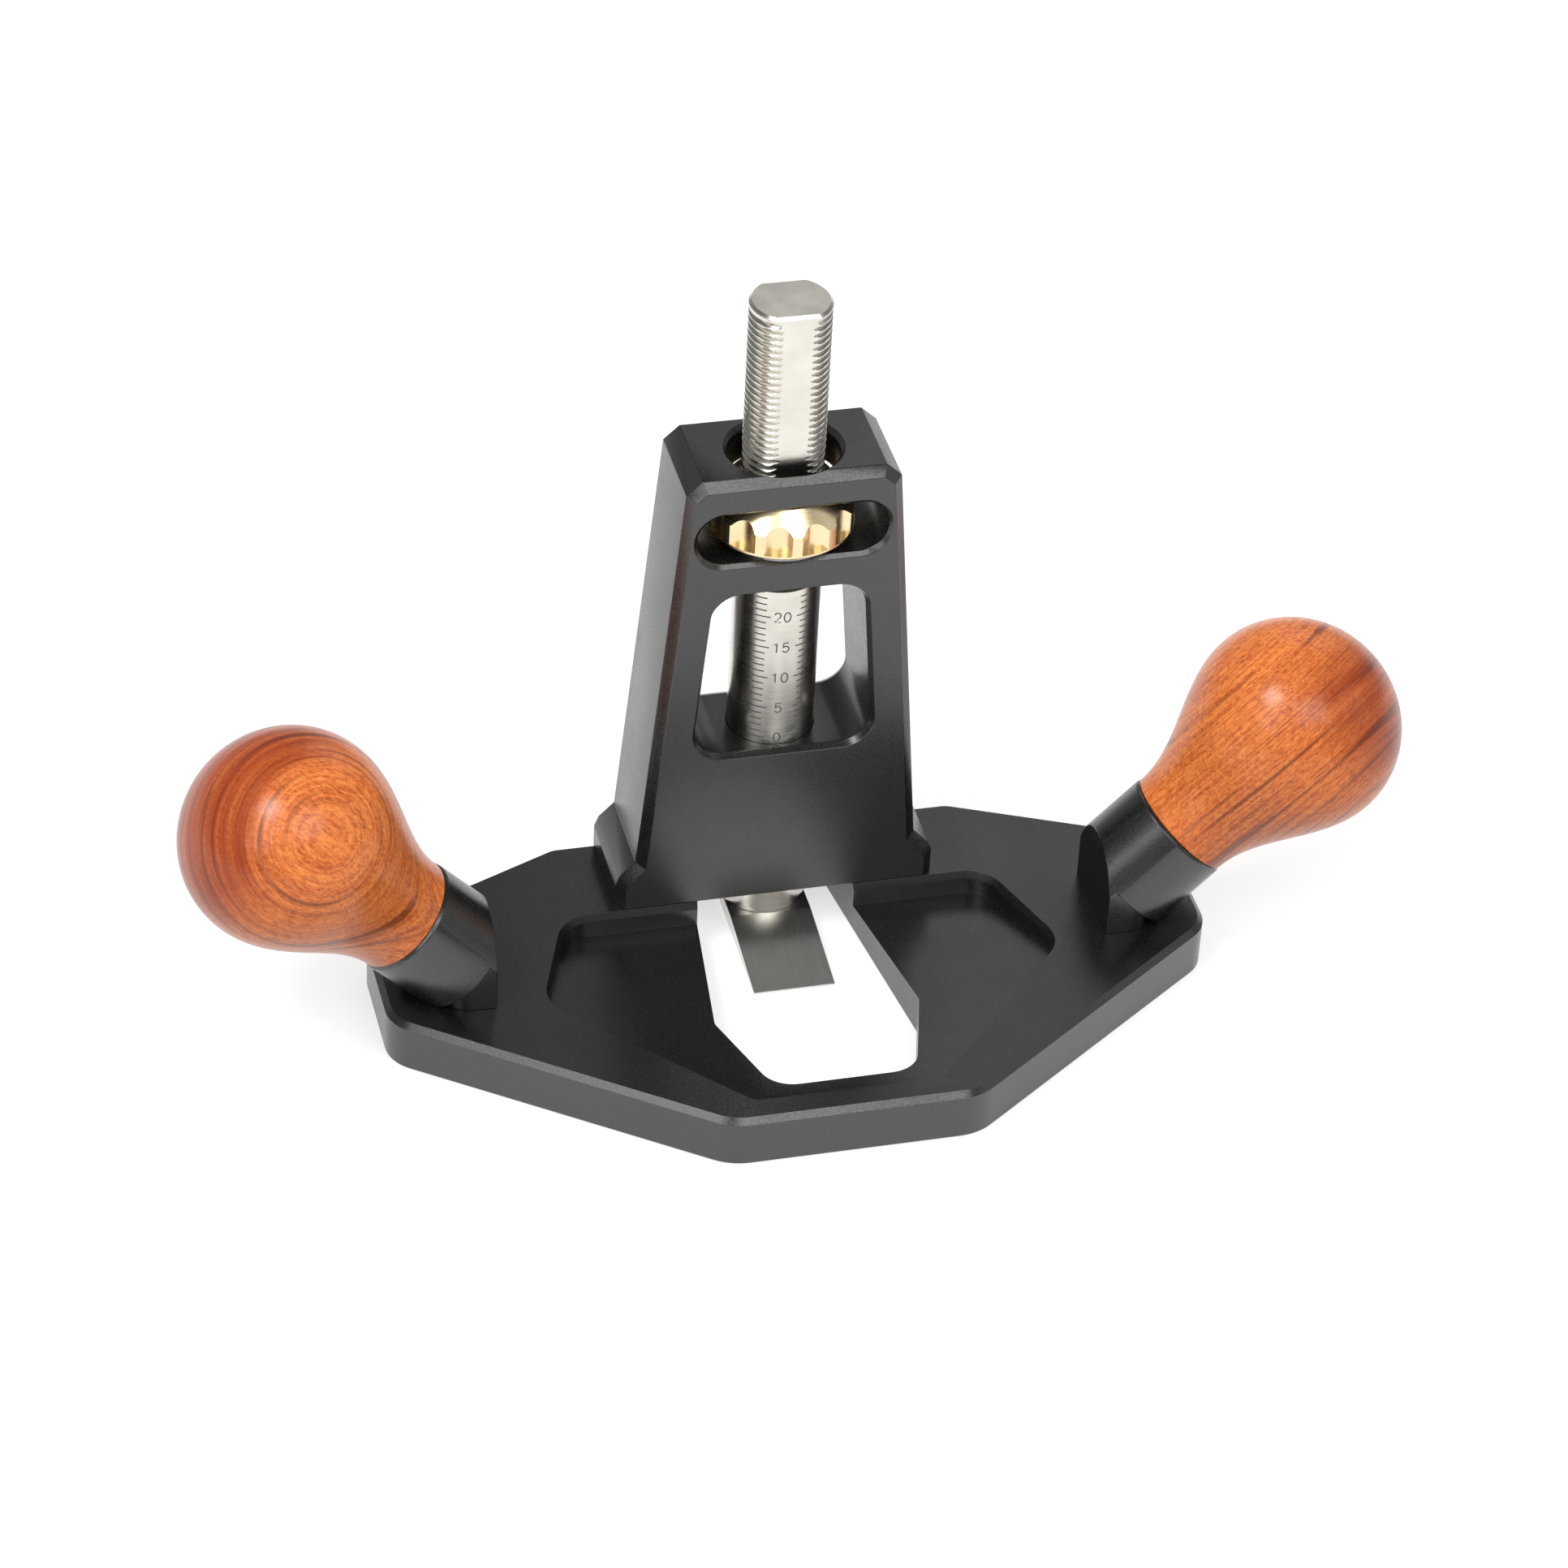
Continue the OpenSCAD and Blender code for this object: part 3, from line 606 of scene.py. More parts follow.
@dataclass(frozen=True)
class TurnedHardwood:
    """Polished red-brown hardwood with growth layers across one direction and grain along another."""

    name: str
    cut: BoardCut
    grain: Triple
    pale: Colour = (0.90, 0.275, 0.066)
    warm: Colour = (0.47, 0.083, 0.017)
    deep: Colour = (0.29, 0.034, 0.006)
    line: Colour = (0.12, 0.018, 0.006)
    growth: Noise = Noise((4300.0, 40.0, 120.0), warp=0.3)
    growth_range: Range = (0.38, 0.62)
    growth_share: float = 0.45
    fleck: Noise = Noise((2300.0, 900.0, 2300.0), detail=3.0, warp=0.9)
    fleck_range: Range = (0.40, 0.64)
    fleck_share: float = 0.55
    drift: Noise = Noise((330.0, 14.0, 40.0), warp=0.3)
    drift_depth: float = 5.0 * MM
    bands: Noise = Noise((560.0, 10.0, 30.0), warp=0.3)
    bands_range: Range = (0.34, 0.64)
    bands_share: Range = (0.50, 1.0)
    along_range: Range = (0.0, 7.0 * MM)
    along_share: Range = (0.12, 1.0)
    lines: Noise = Noise((900.0, 12.0, 46.0), warp=0.3)
    lines_range: Range = (0.57, 0.70)
    lines_share: Range = (0.0, 0.7)
    fibre: Noise = Noise((5200.0, 260.0, 5200.0))
    pores: Noise = Noise((5200.0, 420.0, 5200.0), detail=1.0)
    pores_range: Range = (0.60, 0.72)
    pores_share: Range = (0.15, 0.55)
    gloss: Range = (0.34, 0.44)
    specular: float = 0.12
    coat: float = 0.50
    coat_roughness: float = 0.22
    relief: float = 0.05
    relief_depth: float = 0.02 * MM

    def axes(self) -> tuple[Vector, Vector, Vector]:
        """Works out the board's own axes.

        Returns:
            Unit directions through the layers, along the grain and across both.
        """
        through = Vector(self.cut.layers).normalized()
        along = Vector(self.grain)
        along = (along - along.dot(through) * through).normalized()
        return through, along, through.cross(along)

    def build(self) -> bpy.types.Material:
        """Makes the material.

        A place's distances through the layers, along the grain and across both, from a place in the knob's
        skin, become the coordinates. Noise that is short through the layers and long the other ways gives
        growth lines and bands, which open into ovals where the skin lies along a layer. The wood turns dark
        between two depths, in bands, and more towards the knob's end. Finer noise along the grain gives
        pores and fibres, and cloudy noise the fleck of crossed grain.

        Returns:
            The material.
        """
        web = NodeWeb.of_material(self.name)
        spot = web.here(self.cut.eye)
        parts = [
            web.add("ShaderNodeVectorMath", {0: spot, 1: tuple(axis)}, operation="DOT_PRODUCT")
            for axis in self.axes()
        ]
        through, along, across = (part.outputs["Value"] for part in parts)
        laid = web.add("ShaderNodeCombineXYZ", {0: through, 1: along, 2: across}).outputs["Vector"]
        growth = web.between(web.noise(laid, self.growth), self.growth_range, SHARE)
        fleck = web.between(web.noise(laid, self.fleck), self.fleck_range, SHARE)
        layer = web.sums(
            "ADD",
            web.sums("MULTIPLY", growth, self.growth_share),
            web.sums("MULTIPLY", fleck, self.fleck_share),
        )
        body = web.blend(layer, self.pale, self.warm)
        drift = web.sums("SUBTRACT", web.noise(laid, self.drift), MEAN)
        depth = web.sums("ADD", through, web.sums("MULTIPLY", drift, self.drift_depth))
        bands = web.between(web.noise(laid, self.bands), self.bands_range, self.bands_share)
        dark = web.sums("MULTIPLY", web.between(depth, self.cut.dark, (0.0, self.cut.darkness)), bands)
        dark = web.sums("MULTIPLY", dark, web.between(along, self.along_range, self.along_share))
        lines = web.between(web.noise(laid, self.lines), self.lines_range, self.lines_share)
        lined = web.blend(lines, web.blend(dark, body, self.deep), self.line)
        fibre = web.noise(laid, self.fibre)
        pores = web.between(web.noise(laid, self.pores), self.pores_range, SHARE)
        speck = web.sums("MULTIPLY", pores, web.between(fibre, MIDDLE, self.pores_share))
        return web.shine(
            {
                "Base Color": web.blend(speck, lined, self.line),
                "Roughness": web.between(fibre, MIDDLE, self.gloss),
                "Specular IOR Level": self.specular,
                "Coat Weight": self.coat,
                "Coat Roughness": self.coat_roughness,
                "Normal": web.bump(web.sums("SUBTRACT", fibre, pores), self.relief, self.relief_depth),
            }
        )


@dataclass(frozen=True)
class MachinedPiece:
    """CAD piece kept in its shape, with its sharp edges broken by a small round."""

    node: str
    body: Body
    slot: Slot
    edge_round: float
    edge_angle: float = math.radians(24.0)
    weld: float = 0.002 * MM
    flat_angle: float = math.radians(0.3)

    def build(self, source: bpy.types.Object, finish: bpy.types.Material) -> bpy.types.Object:
        """Merges a copy of the node's triangles into whole faces and rounds its edges.

        Args:
            source: The node's object, which stays as it is.
            finish: Material of the piece.

        Returns:
            The piece that stands for the node.
        """
        shape = bmesh.new()
        shape.from_mesh(source.data)
        bmesh.ops.remove_doubles(shape, verts=shape.verts, dist=self.weld)
        bmesh.ops.dissolve_limit(
            shape,
            angle_limit=self.flat_angle,
            verts=shape.verts,
            edges=shape.edges,
            use_dissolve_boundaries=False,
        )
        mesh = bpy.data.meshes.new(self.node + "_finished")
        shape.to_mesh(mesh)
        shape.free()
        mesh.materials.clear()
        mesh.materials.append(finish)
        mesh.shade_smooth()
        mesh.set_sharp_from_angle(angle=self.edge_angle)
        piece = place(mesh, self.node + "_finished", self.body, self.slot, self.node)
        break_edges(piece, self.edge_round, self.edge_angle)
        return piece


@dataclass
class DepthPost:
    """Post with a smooth lower half and, above, a right-handed thread with a flat at its front and back."""

    radius: float = 6.0 * MM
    bottom: float = 2.4 * MM
    top: float = 99.4 * MM
    flat: float = 4.62 * MM
    flat_start: float = 57.0 * MM
    crest: float = 5.55 * MM
    depth: float = 0.55 * MM
    pitch: float = 1.0 * MM
    tooth_slope: float = 1.5
    tooth_root: float = 0.2
    thread_start: float = 59.0 * MM
    run_out: float = 1.2 * MM
    bevel: float = 0.4 * MM
    foot_round: float = 0.15 * MM
    columns: int = 144
    rows_in_pitch: int = 10
    shank_rows: int = 14
    step_gap: float = 0.02 * MM
    least_sine: float = 0.001
    sharp_angle: float = math.radians(30.0)

    def heights(self) -> np.ndarray:
        """Heights of the rings: few on the shank, two where the flats begin and ten in each turn of thread.

        Returns:
            Heights from the foot to the top.
        """
        shank = np.linspace(self.bottom + self.foot_round, self.flat_start - self.step_gap, self.shank_rows)
        threads = np.arange(self.thread_start, self.top - self.bevel, self.pitch / self.rows_in_pitch)
        steps = [self.bottom, self.flat_start, self.top - self.bevel, self.top]
        return np.unique(np.concatenate([shank, threads, steps]))

    def rings(self) -> np.ndarray:
        """Works out the rings of the post.

        At height z and angle a the thread's radius is the crest less the depth times a rounded tooth of the
        phase z / pitch - a / turn, faded over the run-out at both ends. A cone caps it at the top bevel and
        another at the foot. Above their start the flats cap it at their distance from the axis, bevelled at
        the top, over the sine of the angle.

        Returns:
            Rings of points in the part's frame.
        """
        angle = np.linspace(0.0, math.tau, self.columns, endpoint=False) - math.pi / 2.0
        z, a = np.meshgrid(self.heights(), angle, indexing="ij")
        phase = np.mod(z / self.pitch - a / math.tau, 1.0)
        tooth = np.clip(np.abs(2.0 * phase - 1.0) * self.tooth_slope - self.tooth_root, 0.0, 1.0)
        fade = np.clip((z - self.thread_start) / self.run_out, 0.0, 1.0)
        end = np.clip((self.top - self.bevel - z) / self.run_out, 0.0, 1.0)
        radius = self.radius + (self.crest - self.radius) * fade - self.depth * fade * end * (1.0 - tooth)
        radius = np.minimum(radius, self.crest - self.bevel + (self.top - z))
        radius = np.minimum(radius, self.radius - self.foot_round + (z - self.bottom))
        away = np.maximum(np.abs(np.sin(a)), self.least_sine)
        cut = np.minimum(self.flat, self.flat - self.bevel + (self.top - z)) / away
        radius = np.where(z >= self.flat_start, np.minimum(radius, cut), radius)
        return np.stack([radius * np.cos(a), POST_Y + radius * np.sin(a), z], axis=-1)

    def build(self, finish: bpy.types.Material) -> bpy.types.Object:
        """Makes the post and lets it stand for its node.

        Args:
            finish: Material of the post.

        Returns:
            The post.
        """
        mesh = Grid.mesh("threaded_post", *Grid.tube(self.rings()))
        mesh.materials.append(finish)
        mesh.set_sharp_from_angle(angle=self.sharp_angle)
        return place(mesh, "threaded_post", Body.POST, Slot.POST, "depth_post")


@dataclass
class DepthScale:
    """Millimetre scale on the smooth half of the post: lines to the left and right of a row of numbers.

    Angles are degrees from the front. Each side has the angle where its lines begin, the one where most of
    them end and the one where every fifth ends.
    """

    radius: float = 6.0 * MM
    zero: float = 32.9 * MM
    division: float = 1.0 * MM
    marks: int = 24
    fifth: int = 5
    line: float = 0.19 * MM
    proud: float = 0.014 * MM
    sunk: float = 0.05 * MM
    digit_h: float = 1.5 * MM
    digit_w: float = 0.90 * MM
    digit_gap: float = 0.42 * MM
    numbers_angle: float = -5.0
    left_angles: Triple = (-42.0, -26.0, -20.5)
    right_angles: Triple = (29.5, 19.0, 14.0)
    steps: int = 9
    sharp_angle: float = math.radians(30.0)

    def bars_along(self, angle: np.ndarray, height: np.ndarray) -> np.ndarray:
        """Carries a thin rectangle along paths on the post's skin.

        A path's place is the radius times the sine and the negative cosine of its angle from the front. The
        rectangle is as wide as a line, across the path, and reaches from a little below the skin to a
        little above it.

        Args:
            angle: Angle from the front, in degrees, for each bar and step.
            height: Height above the sole at the same places.

        Returns:
            Corners for Grid.bars.
        """
        turn = np.radians(angle)
        none = np.zeros_like(turn)
        out = np.stack([np.sin(turn), -np.cos(turn), none], axis=-1)
        middle = out * self.radius + np.stack([none, np.full_like(turn, POST_Y), height], axis=-1)
        across = np.cross(out, np.gradient(middle, axis=1))
        across *= self.line / 2.0 / np.linalg.norm(across, axis=-1, keepdims=True)
        low, high = middle - out * self.sunk, middle + out * self.proud
        return np.stack([low - across, low + across, high + across, high - across], axis=2)

    def lines(self, outer: float, short: float, long: float) -> np.ndarray:
        """Lines of one side: arcs from one outer angle to a nearer one, which every fifth line passes.

        Args:
            outer: Angle where all lines begin.
            short: Angle where most of them end.
            long: Angle where every fifth ends.

        Returns:
            Corners for Grid.bars.
        """
        number = np.arange(self.marks)
        last = np.where(number % self.fifth == 0, long, short)[:, None]
        angle = outer + (last - outer) * np.linspace(0.0, 1.0, self.steps)
        height = (self.zero + number * self.division)[:, None]
        return self.bars_along(angle, np.broadcast_to(height, angle.shape))

    @staticmethod
    def arc(cx: float, cy: float, rx: float, ry: float, start: float, end: float, steps: int) -> np.ndarray:
        """Points of an ellipse's arc between two angles in degrees."""
        angle = np.radians(np.linspace(start, end, steps))
        return np.stack([cx + rx * np.cos(angle), cy + ry * np.sin(angle)], axis=-1)

    def stroke(self, digit: str) -> np.ndarray:
        """Stroke of a digit in a box one wide and one high, from straight runs and arcs.

        Args:
            digit: One of 0, 1, 2 and 5.

        Returns:
            Path of points.
        """
        if digit == "0":
            return self.arc(0.5, 0.5, 0.5, 0.5, start=90.0, end=450.0, steps=29)
        if digit == "1":
            return np.array([[0.18, 0.80], [0.55, 1.0], [0.55, 0.0]])
        if digit == "2":
            top = self.arc(0.5, 0.72, 0.46, 0.28, start=165.0, end=-35.0, steps=14)
            return np.concatenate([top, [[0.04, 0.0], [1.0, 0.0]]])
        bowl = self.arc(0.46, 0.32, 0.50, 0.32, start=130.0, end=-150.0, steps=18)
        return np.concatenate([[[0.92, 1.0], [0.16, 1.0], [0.08, 0.50]], bowl])

    def numbers(self) -> list[np.ndarray]:
        """Numbers at every fifth line: each stroke is wrapped on the post and carried as a thin bar.

        Returns:
            Corners for Grid.bars, one array for each digit.
        """
        made: list[np.ndarray] = []
        for number in range(0, self.marks, self.fifth):
            word = str(number)
            width = len(word) * self.digit_w + (len(word) - 1) * self.digit_gap
            for order, digit in enumerate(word):
                path = self.stroke(digit)
                across = order * (self.digit_w + self.digit_gap) - width / 2.0 + path[:, 0] * self.digit_w
                height = self.zero + number * self.division + (path[:, 1] - 0.5) * self.digit_h
                angle = self.numbers_angle + np.degrees(across / self.radius)
                made.append(self.bars_along(angle[None, :], height[None, :]))
        return made

    def build(self, finish: bpy.types.Material) -> bpy.types.Object:
        """Makes the scale as one piece that rides with the post.

        Args:
            finish: Material of the lines and numbers.

        Returns:
            The scale.
        """
        bars = [self.lines(*self.left_angles), self.lines(*self.right_angles), *self.numbers()]
        parts = [Grid.bars(corners) for corners in bars]
        starts = np.cumsum([0] + [len(vertices) for vertices, _ in parts])
        vertices = np.concatenate([vertices for vertices, _ in parts])
        quads = np.concatenate([quads + start for (_, quads), start in zip(parts, starts)])
        mesh = Grid.mesh("depth_scale", vertices, quads)
        mesh.materials.append(finish)
        mesh.set_sharp_from_angle(angle=self.sharp_angle)
        return place(mesh, "depth_scale", Body.POST, Slot.POST)


@dataclass
class AdjusterNut:
    """Brass nut with a round flange, scalloped sides and a wide bevel on top."""

    radius: float = 10.0 * MM
    low: float = 64.9 * MM
    high: float = 71.2 * MM
    bore: float = 6.05 * MM
    low_bevel: float = 0.3 * MM
    flange: float = 0.6 * MM
    top_bevel: float = 2.8 * MM
    bore_bevel: float = 0.35 * MM
    lobe_step: float = 0.04 * MM
    scallops: int = 12
    scallop_r: float = 2.4 * MM
    scallop_depth: float = 1.1 * MM
    columns_in_scallop: int = 26
    side_rows: Triple = (0.0, 0.5, 1.0)
    bevel_rows: Triple = (0.35, 0.7, 1.0)
    edge_round: float = 0.05 * MM
    sharp_angle: float = math.radians(28.0)

    def side(self, angle: np.ndarray) -> np.ndarray:
        """Radius of the scalloped side.

        Each scallop is a round cut whose middle stands outside the rim. Along a ray that makes the angle d
        with the ray to that middle, at distance m, the cut begins at m cos d - sqrt(s^2 - (m sin d)^2), for
        a cut of radius s. Elsewhere the lobe has the full radius, less a small step.

        Args:
            angle: Angle round the nut.

        Returns:
            Radius at each angle.
        """
        step = math.tau / self.scallops
        away = np.mod(angle + math.pi / 2.0, step) - step / 2.0
        middle = self.radius - self.scallop_depth + self.scallop_r
        under = np.maximum(self.scallop_r**2 - (middle * np.sin(away)) ** 2, 0.0)
        inner = middle * np.cos(away) - np.sqrt(under)
        lobe = self.radius - self.lobe_step
        return np.where(under > 0.0, np.minimum(inner, lobe), lobe)

    def skin(self) -> tuple[np.ndarray, np.ndarray]:
        """Works out the nut's closed skin as rings from the bore's foot round the outside to its head.

        The flange's rings have one radius. The side goes straight up at its own radius until it meets the
        top bevel, whose height is the bevel's foot plus the full radius less its own, and the bevel goes on
        inwards to the top.

        Returns:
            Vertices and quads.
        """
        count = self.scallops * self.columns_in_scallop
        angle = np.linspace(0.0, math.tau, count, endpoint=False)
        side = self.side(angle)
        same = np.ones(count)
        ledge, foot = self.low + self.flange, self.high - self.top_bevel
        brow = foot + self.radius - side
        inner = self.radius - self.top_bevel
        rise = [(side, ledge + (brow - ledge) * row) for row in self.side_rows]
        slope = [
            (side + (inner - side) * row, brow + (self.high - brow) * row) for row in self.bevel_rows
        ]
        rings = [
            (self.bore * same, (self.low + self.bore_bevel) * same),
            ((self.bore + self.bore_bevel) * same, self.low * same),
            ((self.radius - self.low_bevel) * same, self.low * same),
            (self.radius * same, (self.low + self.low_bevel) * same),
            (self.radius * same, ledge * same),
            *rise,
            *slope,
            ((self.bore + self.bore_bevel) * same, self.high * same),
            (self.bore * same, (self.high - self.bore_bevel) * same),
        ]
        radius = np.stack([ring for ring, _ in rings])
        height = np.stack([level for _, level in rings])
        points = np.stack([radius * np.cos(angle), POST_Y + radius * np.sin(angle), height], axis=-1)
        index = np.arange(points.shape[0] * count).reshape(points.shape[0], count)
        right, up = np.roll(index, -1, axis=1), np.roll(index, -1, axis=0)
        quads = np.stack([index, right, np.roll(right, -1, axis=0), up], axis=-1).reshape(-1, 4)
        return points.reshape(-1, 3), quads

    def build(self, finish: bpy.types.Material) -> bpy.types.Object:
        """Makes the nut, breaks its edges and lets it stand for its node.

        Args:
            finish: Material of the nut.

        Returns:
            The nut.
        """
        mesh = Grid.mesh("scalloped_nut", *self.skin())
        mesh.materials.append(finish)
        mesh.set_sharp_from_angle(angle=self.sharp_angle)
        piece = place(mesh, "scalloped_nut", Body.NUT, Slot.BRASS, "adjuster_nut")
        break_edges(piece, self.edge_round, self.sharp_angle)
        return piece


@dataclass
class TurnedKnob:
    """Pear-shaped knob on its leaning socket."""

    side: Side
    rim_x: float = 54.5 * MM
    handle_front: float = 18.1 * MM
    rim_z: float = 19.5 * MM
    lean: float = math.radians(45.0)
    neck: float = 8.1 * MM
    radius: float = 15.0 * MM
    wide: float = 21.5 * MM
    length: float = 35.79 * MM
    neck_round: float = 0.35 * MM
    tip: float = 0.02 * MM
    columns: int = 144
    rows: int = 44
    edge_rows: int = 6
    sharp_angle: float = math.radians(50.0)

    @property
    def centre(self) -> Triple:
        """Middle of the socket's rim, where the knob begins."""
        return (self.side.value * self.rim_x, POST_Y - self.handle_front, self.rim_z)

    @property
    def turn(self) -> float:
        """Lean of the knob's axis about Y."""
        return self.side.value * self.lean

    def profile(self) -> tuple[np.ndarray, np.ndarray]:
        """Works out the outline of the knob.

        From neck to belly the radius rises by half a cosine wave, and from there a quarter of an ellipse
        closes it. The edge at the neck is rounded by a quarter circle.

        Returns:
            Radii and distances from the rim.
        """
        quarter = np.linspace(0.0, math.pi / 2.0, self.edge_rows)
        edge_r = self.neck - self.neck_round * (1.0 - np.sin(quarter))
        edge_s = self.neck_round * (1.0 - np.cos(quarter))
        rise_s = np.linspace(self.neck_round, self.wide, self.rows)[1:]
        rise_r = self.neck + (self.radius - self.neck) * (1.0 - np.cos(math.pi * rise_s / self.wide)) / 2.0
        close = np.linspace(0.0, math.pi / 2.0, self.rows)[1:-1]
        cap_s = self.wide + (self.length - self.wide) * np.sin(close)
        cap_r = self.radius * np.cos(close)
        radii = np.concatenate([edge_r, rise_r, cap_r, [self.tip]])
        return radii, np.concatenate([edge_s, rise_s, cap_s, [self.length]])

    def build(self) -> bpy.types.Object:
        """Turns the outline about the handle's axis and sets it on its socket.

        Returns:
            The knob.
        """
        name = self.side.word + "_turned_knob"
        mesh = Grid.mesh(name, *Grid.tube(revolve(*self.profile(), self.columns)))
        mesh.transform(Matrix.Translation(self.centre) @ Matrix.Rotation(self.turn, 4, "Y"))
        mesh.set_sharp_from_angle(angle=self.sharp_angle)
        grain = (math.sin(self.turn), 0.0, math.cos(self.turn))
        wood = TurnedHardwood(self.side.word + "_knob_hardwood", BOARD_CUTS[self.side], grain)
        mesh.materials.append(wood.build())
        return place(mesh, name, Body.FRAME, Slot.WOOD, self.side.word + "_knob")


@dataclass(frozen=True)
class Softbox:
    """Rectangular lamp that the camera doesn't see."""

    name: str
    spot: Triple
    width: float
    height: float
    brightness: float

    def build(self, aim: Triple) -> bpy.types.Object:
        """Hangs the lamp; its power is its brightness times pi times its area.

        Args:
            aim: Place that it faces.

        Returns:
            The lamp's object.
        """
        lamp = bpy.data.lights.new(self.name, "AREA")
        lamp.shape = "RECTANGLE"
        lamp.size, lamp.size_y = self.width, self.height
        lamp.energy = self.brightness * math.pi * self.width * self.height
        box = add_object(self.name, lamp)
        box.location = self.spot
        box.rotation_euler = (Vector(aim) - Vector(self.spot)).to_track_quat("-Z", "Y").to_euler()
        box.visible_camera = False
        return box


@dataclass
class Studio:
    """White table, soft lamps and the light of the room."""

    floor_half: float = 4.0
    floor_z: float = -0.25 * MM
    table_glow: float = 0.66
    table_shine: float = 0.75
    table_white: float = 0.45
    backdrop: float = 1.0
    room_level: float = 0.72
    horizon: float = 0.42
    zenith: float = 0.14
    sky_range: Range = (0.12, 0.75)
    lamps: tuple[Softbox, ...] = (
        Softbox("key_softbox", (-0.47, -0.22, 0.90), 0.30, 0.30, 14.0),
        Softbox("left_softbox", (-0.62, -0.50, 0.60), 0.40, 0.50, 2.4),
        Softbox("front_softbox", (0.12, -0.62, 0.80), 0.60, 0.45, 3.6),
        Softbox("right_softbox", (0.85, -0.30, 0.55), 0.50, 0.60, 0.6),
        Softbox("back_panel", (0.36, 0.58, 0.50), 0.50, 0.40, 0.6),
    )
    aim: Triple = (0.0, 0.01, 0.035)

    @staticmethod
    def seen(
        web: NodeWeb, to_camera: float, to_gloss: float | bpy.types.NodeSocket
    ) -> bpy.types.NodeSocket:
        """Strength of a glow for rays of the camera and for those of gloss and clear pieces, and no others.

        Args:
            web: Nodes that it is added to.
            to_camera: Strength for the camera.
            to_gloss: Strength for gloss and clear pieces.

        Returns:
            Value socket.
        """
        path = web.add("ShaderNodeLightPath").outputs
        mirrored = web.sums("MAXIMUM", path["Is Glossy Ray"], path["Is Transmission Ray"])
        gloss = web.sums("MULTIPLY", mirrored, to_gloss)
        return web.sums("MAXIMUM", web.sums("MULTIPLY", path["Is Camera Ray"], to_camera), gloss)

    def floor(self) -> bpy.types.Object:
        """Lays the table: a plain sheet on a grid of two by two points, white where nothing shades it.

        Returns:
            The table.
        """
        ends = [-self.floor_half, self.floor_half]
        x, y = np.meshgrid(ends, ends)
        points = np.stack([x.ravel(), y.ravel(), np.full(x.size, self.floor_z)], axis=-1)
        mesh = Grid.mesh("table", points, np.array([[0, 1, 3, 2]]))
        web = NodeWeb.of_material("white_table")
        paint = web.add("ShaderNodeBsdfDiffuse", {"Color": (self.table_white,) * 3 + (1.0,)})
        strength = self.seen(web, self.table_glow, self.table_shine)
        glow = web.add("ShaderNodeEmission", {"Strength": strength})
        both = web.add("ShaderNodeAddShader", {0: paint.outputs["BSDF"], 1: glow.outputs["Emission"]})
        mesh.materials.append(web.end(both.outputs["Shader"]))
        table = add_object("table", mesh)
        return table

    def room(self) -> None:
        """Sets the world: brightest for the camera, an even light on dull faces and a sky for gloss.

        The sky's strength falls from the horizon to the zenith with the height of a ray's direction.
        """
        web = NodeWeb.of_world("studio_room")
        way = web.add("ShaderNodeTexCoord").outputs["Generated"]
        up = web.add("ShaderNodeSeparateXYZ", {"Vector": way}).outputs["Z"]
        sky = web.between(up, self.sky_range, (self.horizon, self.zenith))
        seen = self.seen(web, self.backdrop, sky)
        path = web.add("ShaderNodeLightPath").outputs
        strength = web.mix(Mix.VALUE, path["Is Diffuse Ray"], seen, self.room_level)
        light = web.add("ShaderNodeBackground", {"Strength": strength})
        bpy.context.scene.world = web.end(light.outputs["Background"])

    def build(self) -> None:
        """Builds the studio."""
        self.floor()
        self.room()
        for lamp in self.lamps:
            lamp.build(self.aim)
        bpy.context.scene.view_settings.view_transform = "Standard"


@dataclass(frozen=True)
class PhotoCamera:
    """Camera of the photograph: its place, right, up and backward axes and focal length in pixels."""

    eye: Triple = (-0.15633, -0.54578, 0.46593)
    right: Triple = (0.97048, -0.23717, 0.04376)
    up: Triple = (0.10941, 0.59467, 0.79649)
    back: Triple = (-0.21493, -0.76819, 0.60307)
    focal_pixels: float = 6566.1
    sensor: float = 36.0
    clip: Range = (0.01, 50.0)

    def build(self) -> bpy.types.Object:
        """Makes the scene's camera from the three axes.

        Returns:
            The camera.
        """
        lens = bpy.data.cameras.new("photo_camera")
        lens.sensor_fit = "HORIZONTAL"
        lens.sensor_width = self.sensor
        lens.lens = self.focal_pixels / PHOTO_PIXELS * self.sensor
        lens.clip_start, lens.clip_end = self.clip
        camera = add_object("photo_camera", lens)
        turn = Matrix((self.right, self.up, self.back)).transposed().to_4x4()
        camera.matrix_world = Matrix.Translation(self.eye) @ turn
        bpy.context.scene.camera = camera
        return camera


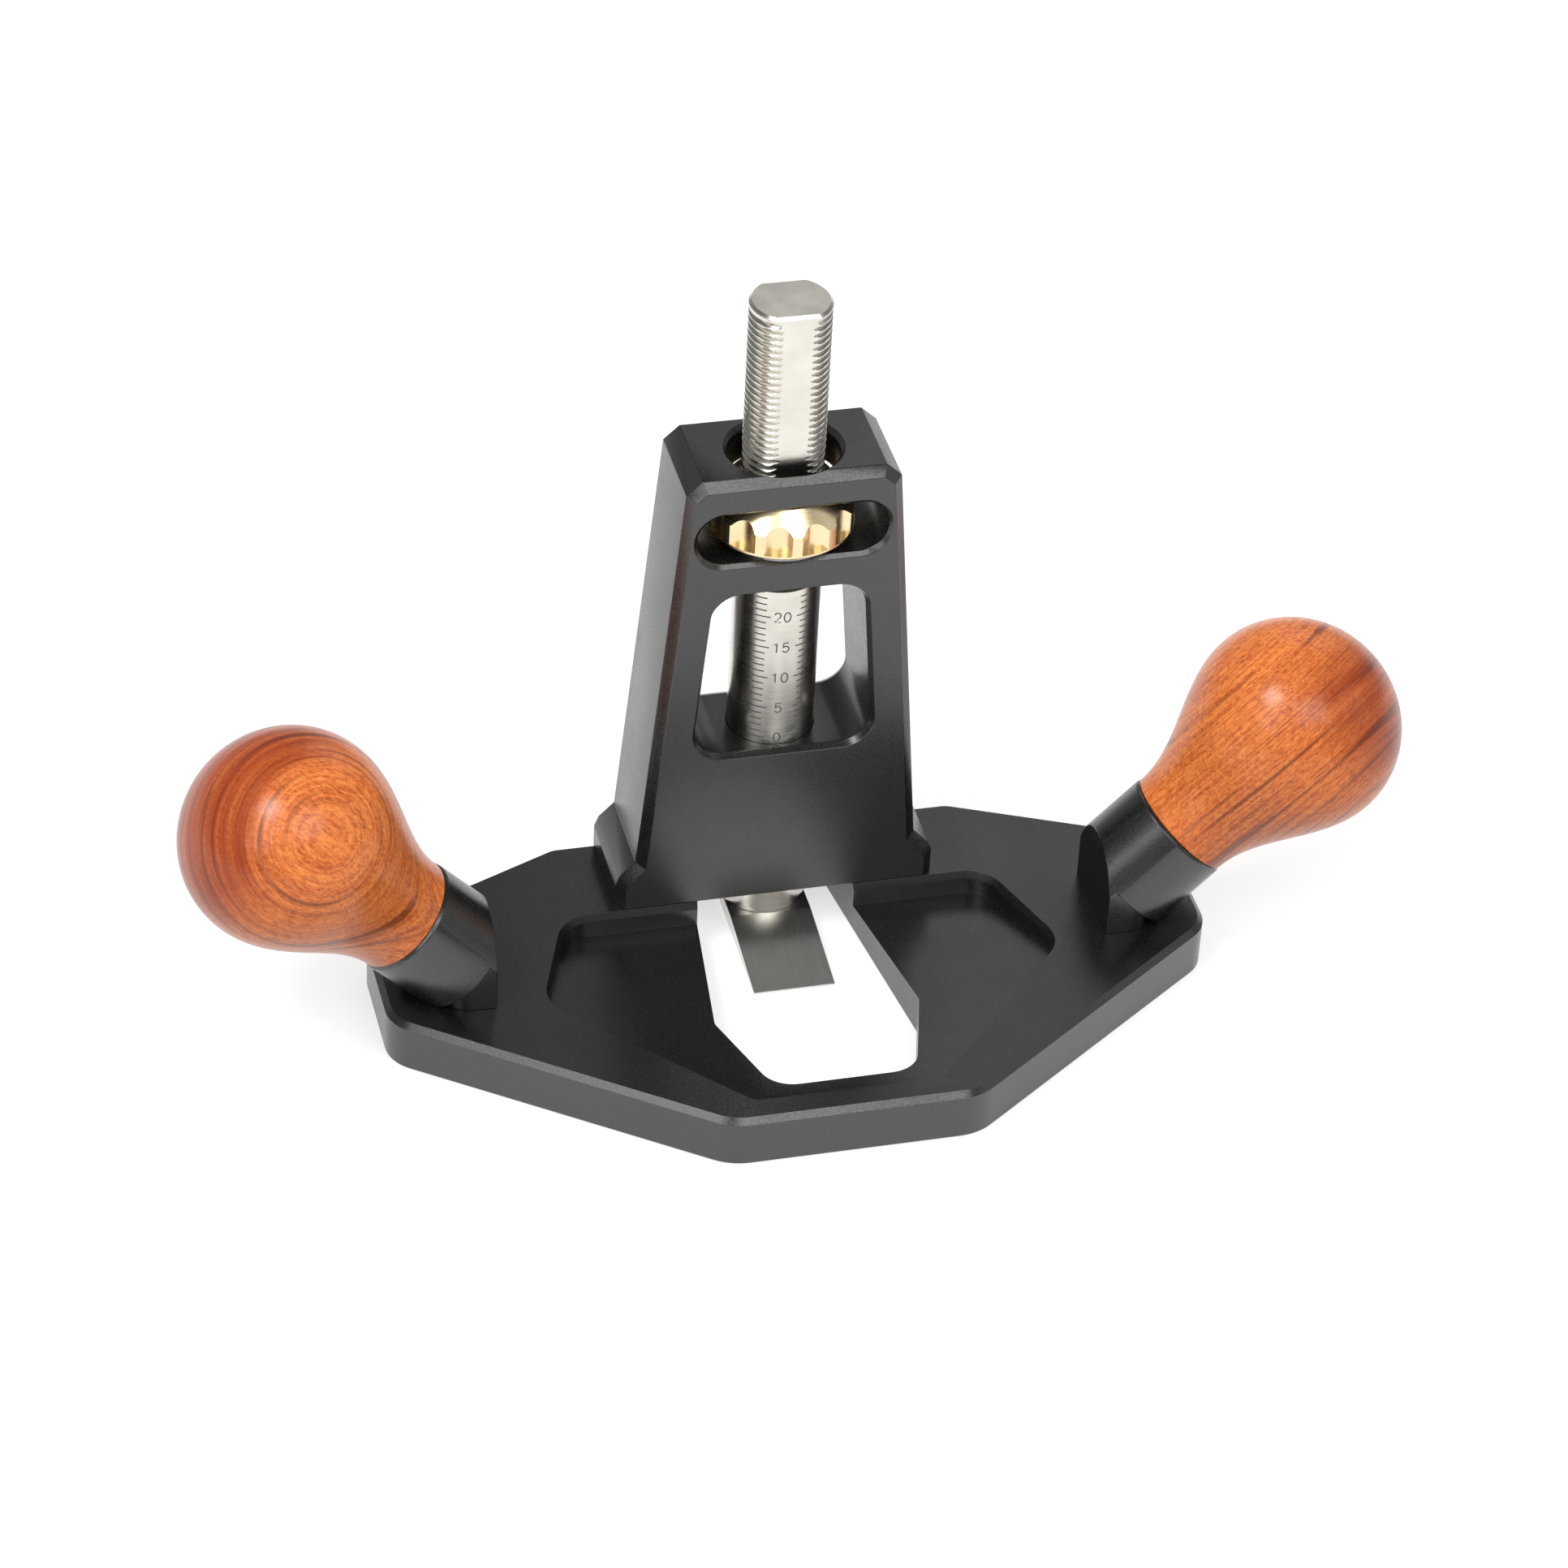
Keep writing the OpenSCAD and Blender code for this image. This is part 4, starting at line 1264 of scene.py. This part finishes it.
@dataclass
class RouterPlane:
    """The whole plane: which finish each piece gets and which pieces are made anew."""

    frame: dict
    machined: tuple[MachinedPiece, ...] = (
        MachinedPiece("base_plate", Body.FRAME, Slot.BLACK, 0.26 * MM),
        MachinedPiece("tower", Body.FRAME, Slot.BLACK, 0.14 * MM),
        MachinedPiece("left_handle_socket", Body.FRAME, Slot.BLACK, 0.12 * MM),
        MachinedPiece("right_handle_socket", Body.FRAME, Slot.BLACK, 0.12 * MM),
        MachinedPiece("cutter_blade", Body.POST, Slot.BLADE, 0.05 * MM),
    )
    nickel: TurnedMetal = TurnedMetal(
        "bright_nickel", colour=(0.74, 0.71, 0.65), shade=(0.66, 0.63, 0.57), gloss=(0.20, 0.27)
    )
    brass: TurnedMetal = TurnedMetal(
        "polished_brass", colour=(0.90, 0.75, 0.48), shade=(0.84, 0.67, 0.40), gloss=(0.24, 0.32)
    )

    def finishes(self) -> dict[Slot, bpy.types.Material]:
        """Makes one material for each slot but the wood's.

        Returns:
            Materials by slot.
        """
        return {
            Slot.BLACK: BlackAnodised().build(),
            Slot.POST: self.nickel.build(),
            Slot.BLADE: GroundSteel().build(),
            Slot.SCREW: SatinSteel().build(),
            Slot.BRASS: self.brass.build(),
        }

    def build(self) -> None:
        """Dresses the CAD nodes and makes the pieces that stand for some of them."""
        finishes = self.finishes()
        nodes = self.frame["nodes"]
        slots = {row["node"]: Slot(row["material_slot"]) for row in self.frame["record"]["subparts"]}
        for node, piece in nodes.items():
            if slots[node] in finishes and piece.material_slots:
                piece.material_slots[0].material = finishes[slots[node]]
        for machined in self.machined:
            machined.build(nodes[machined.node], finishes[machined.slot])
        DepthPost().build(finishes[Slot.POST])
        DepthScale().build(EngravedGrey().build())
        AdjusterNut().build(finishes[Slot.BRASS])
        for side in Side:
            TurnedKnob(side).build()


def corners(box: tuple[Vector, Vector]) -> list[list[float]]:
    """A box's two corners as plain lists."""
    return [[float(value) for value in corner] for corner in box]


def main() -> None:
    """Loads the frame, builds the plane, the studio and the camera."""
    logging.basicConfig(level=logging.INFO, format="%(name)s: %(message)s")
    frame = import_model()
    PhotoCamera().build()
    RouterPlane(frame).build()
    Studio().build()


if __name__ == "__main__":
    main()
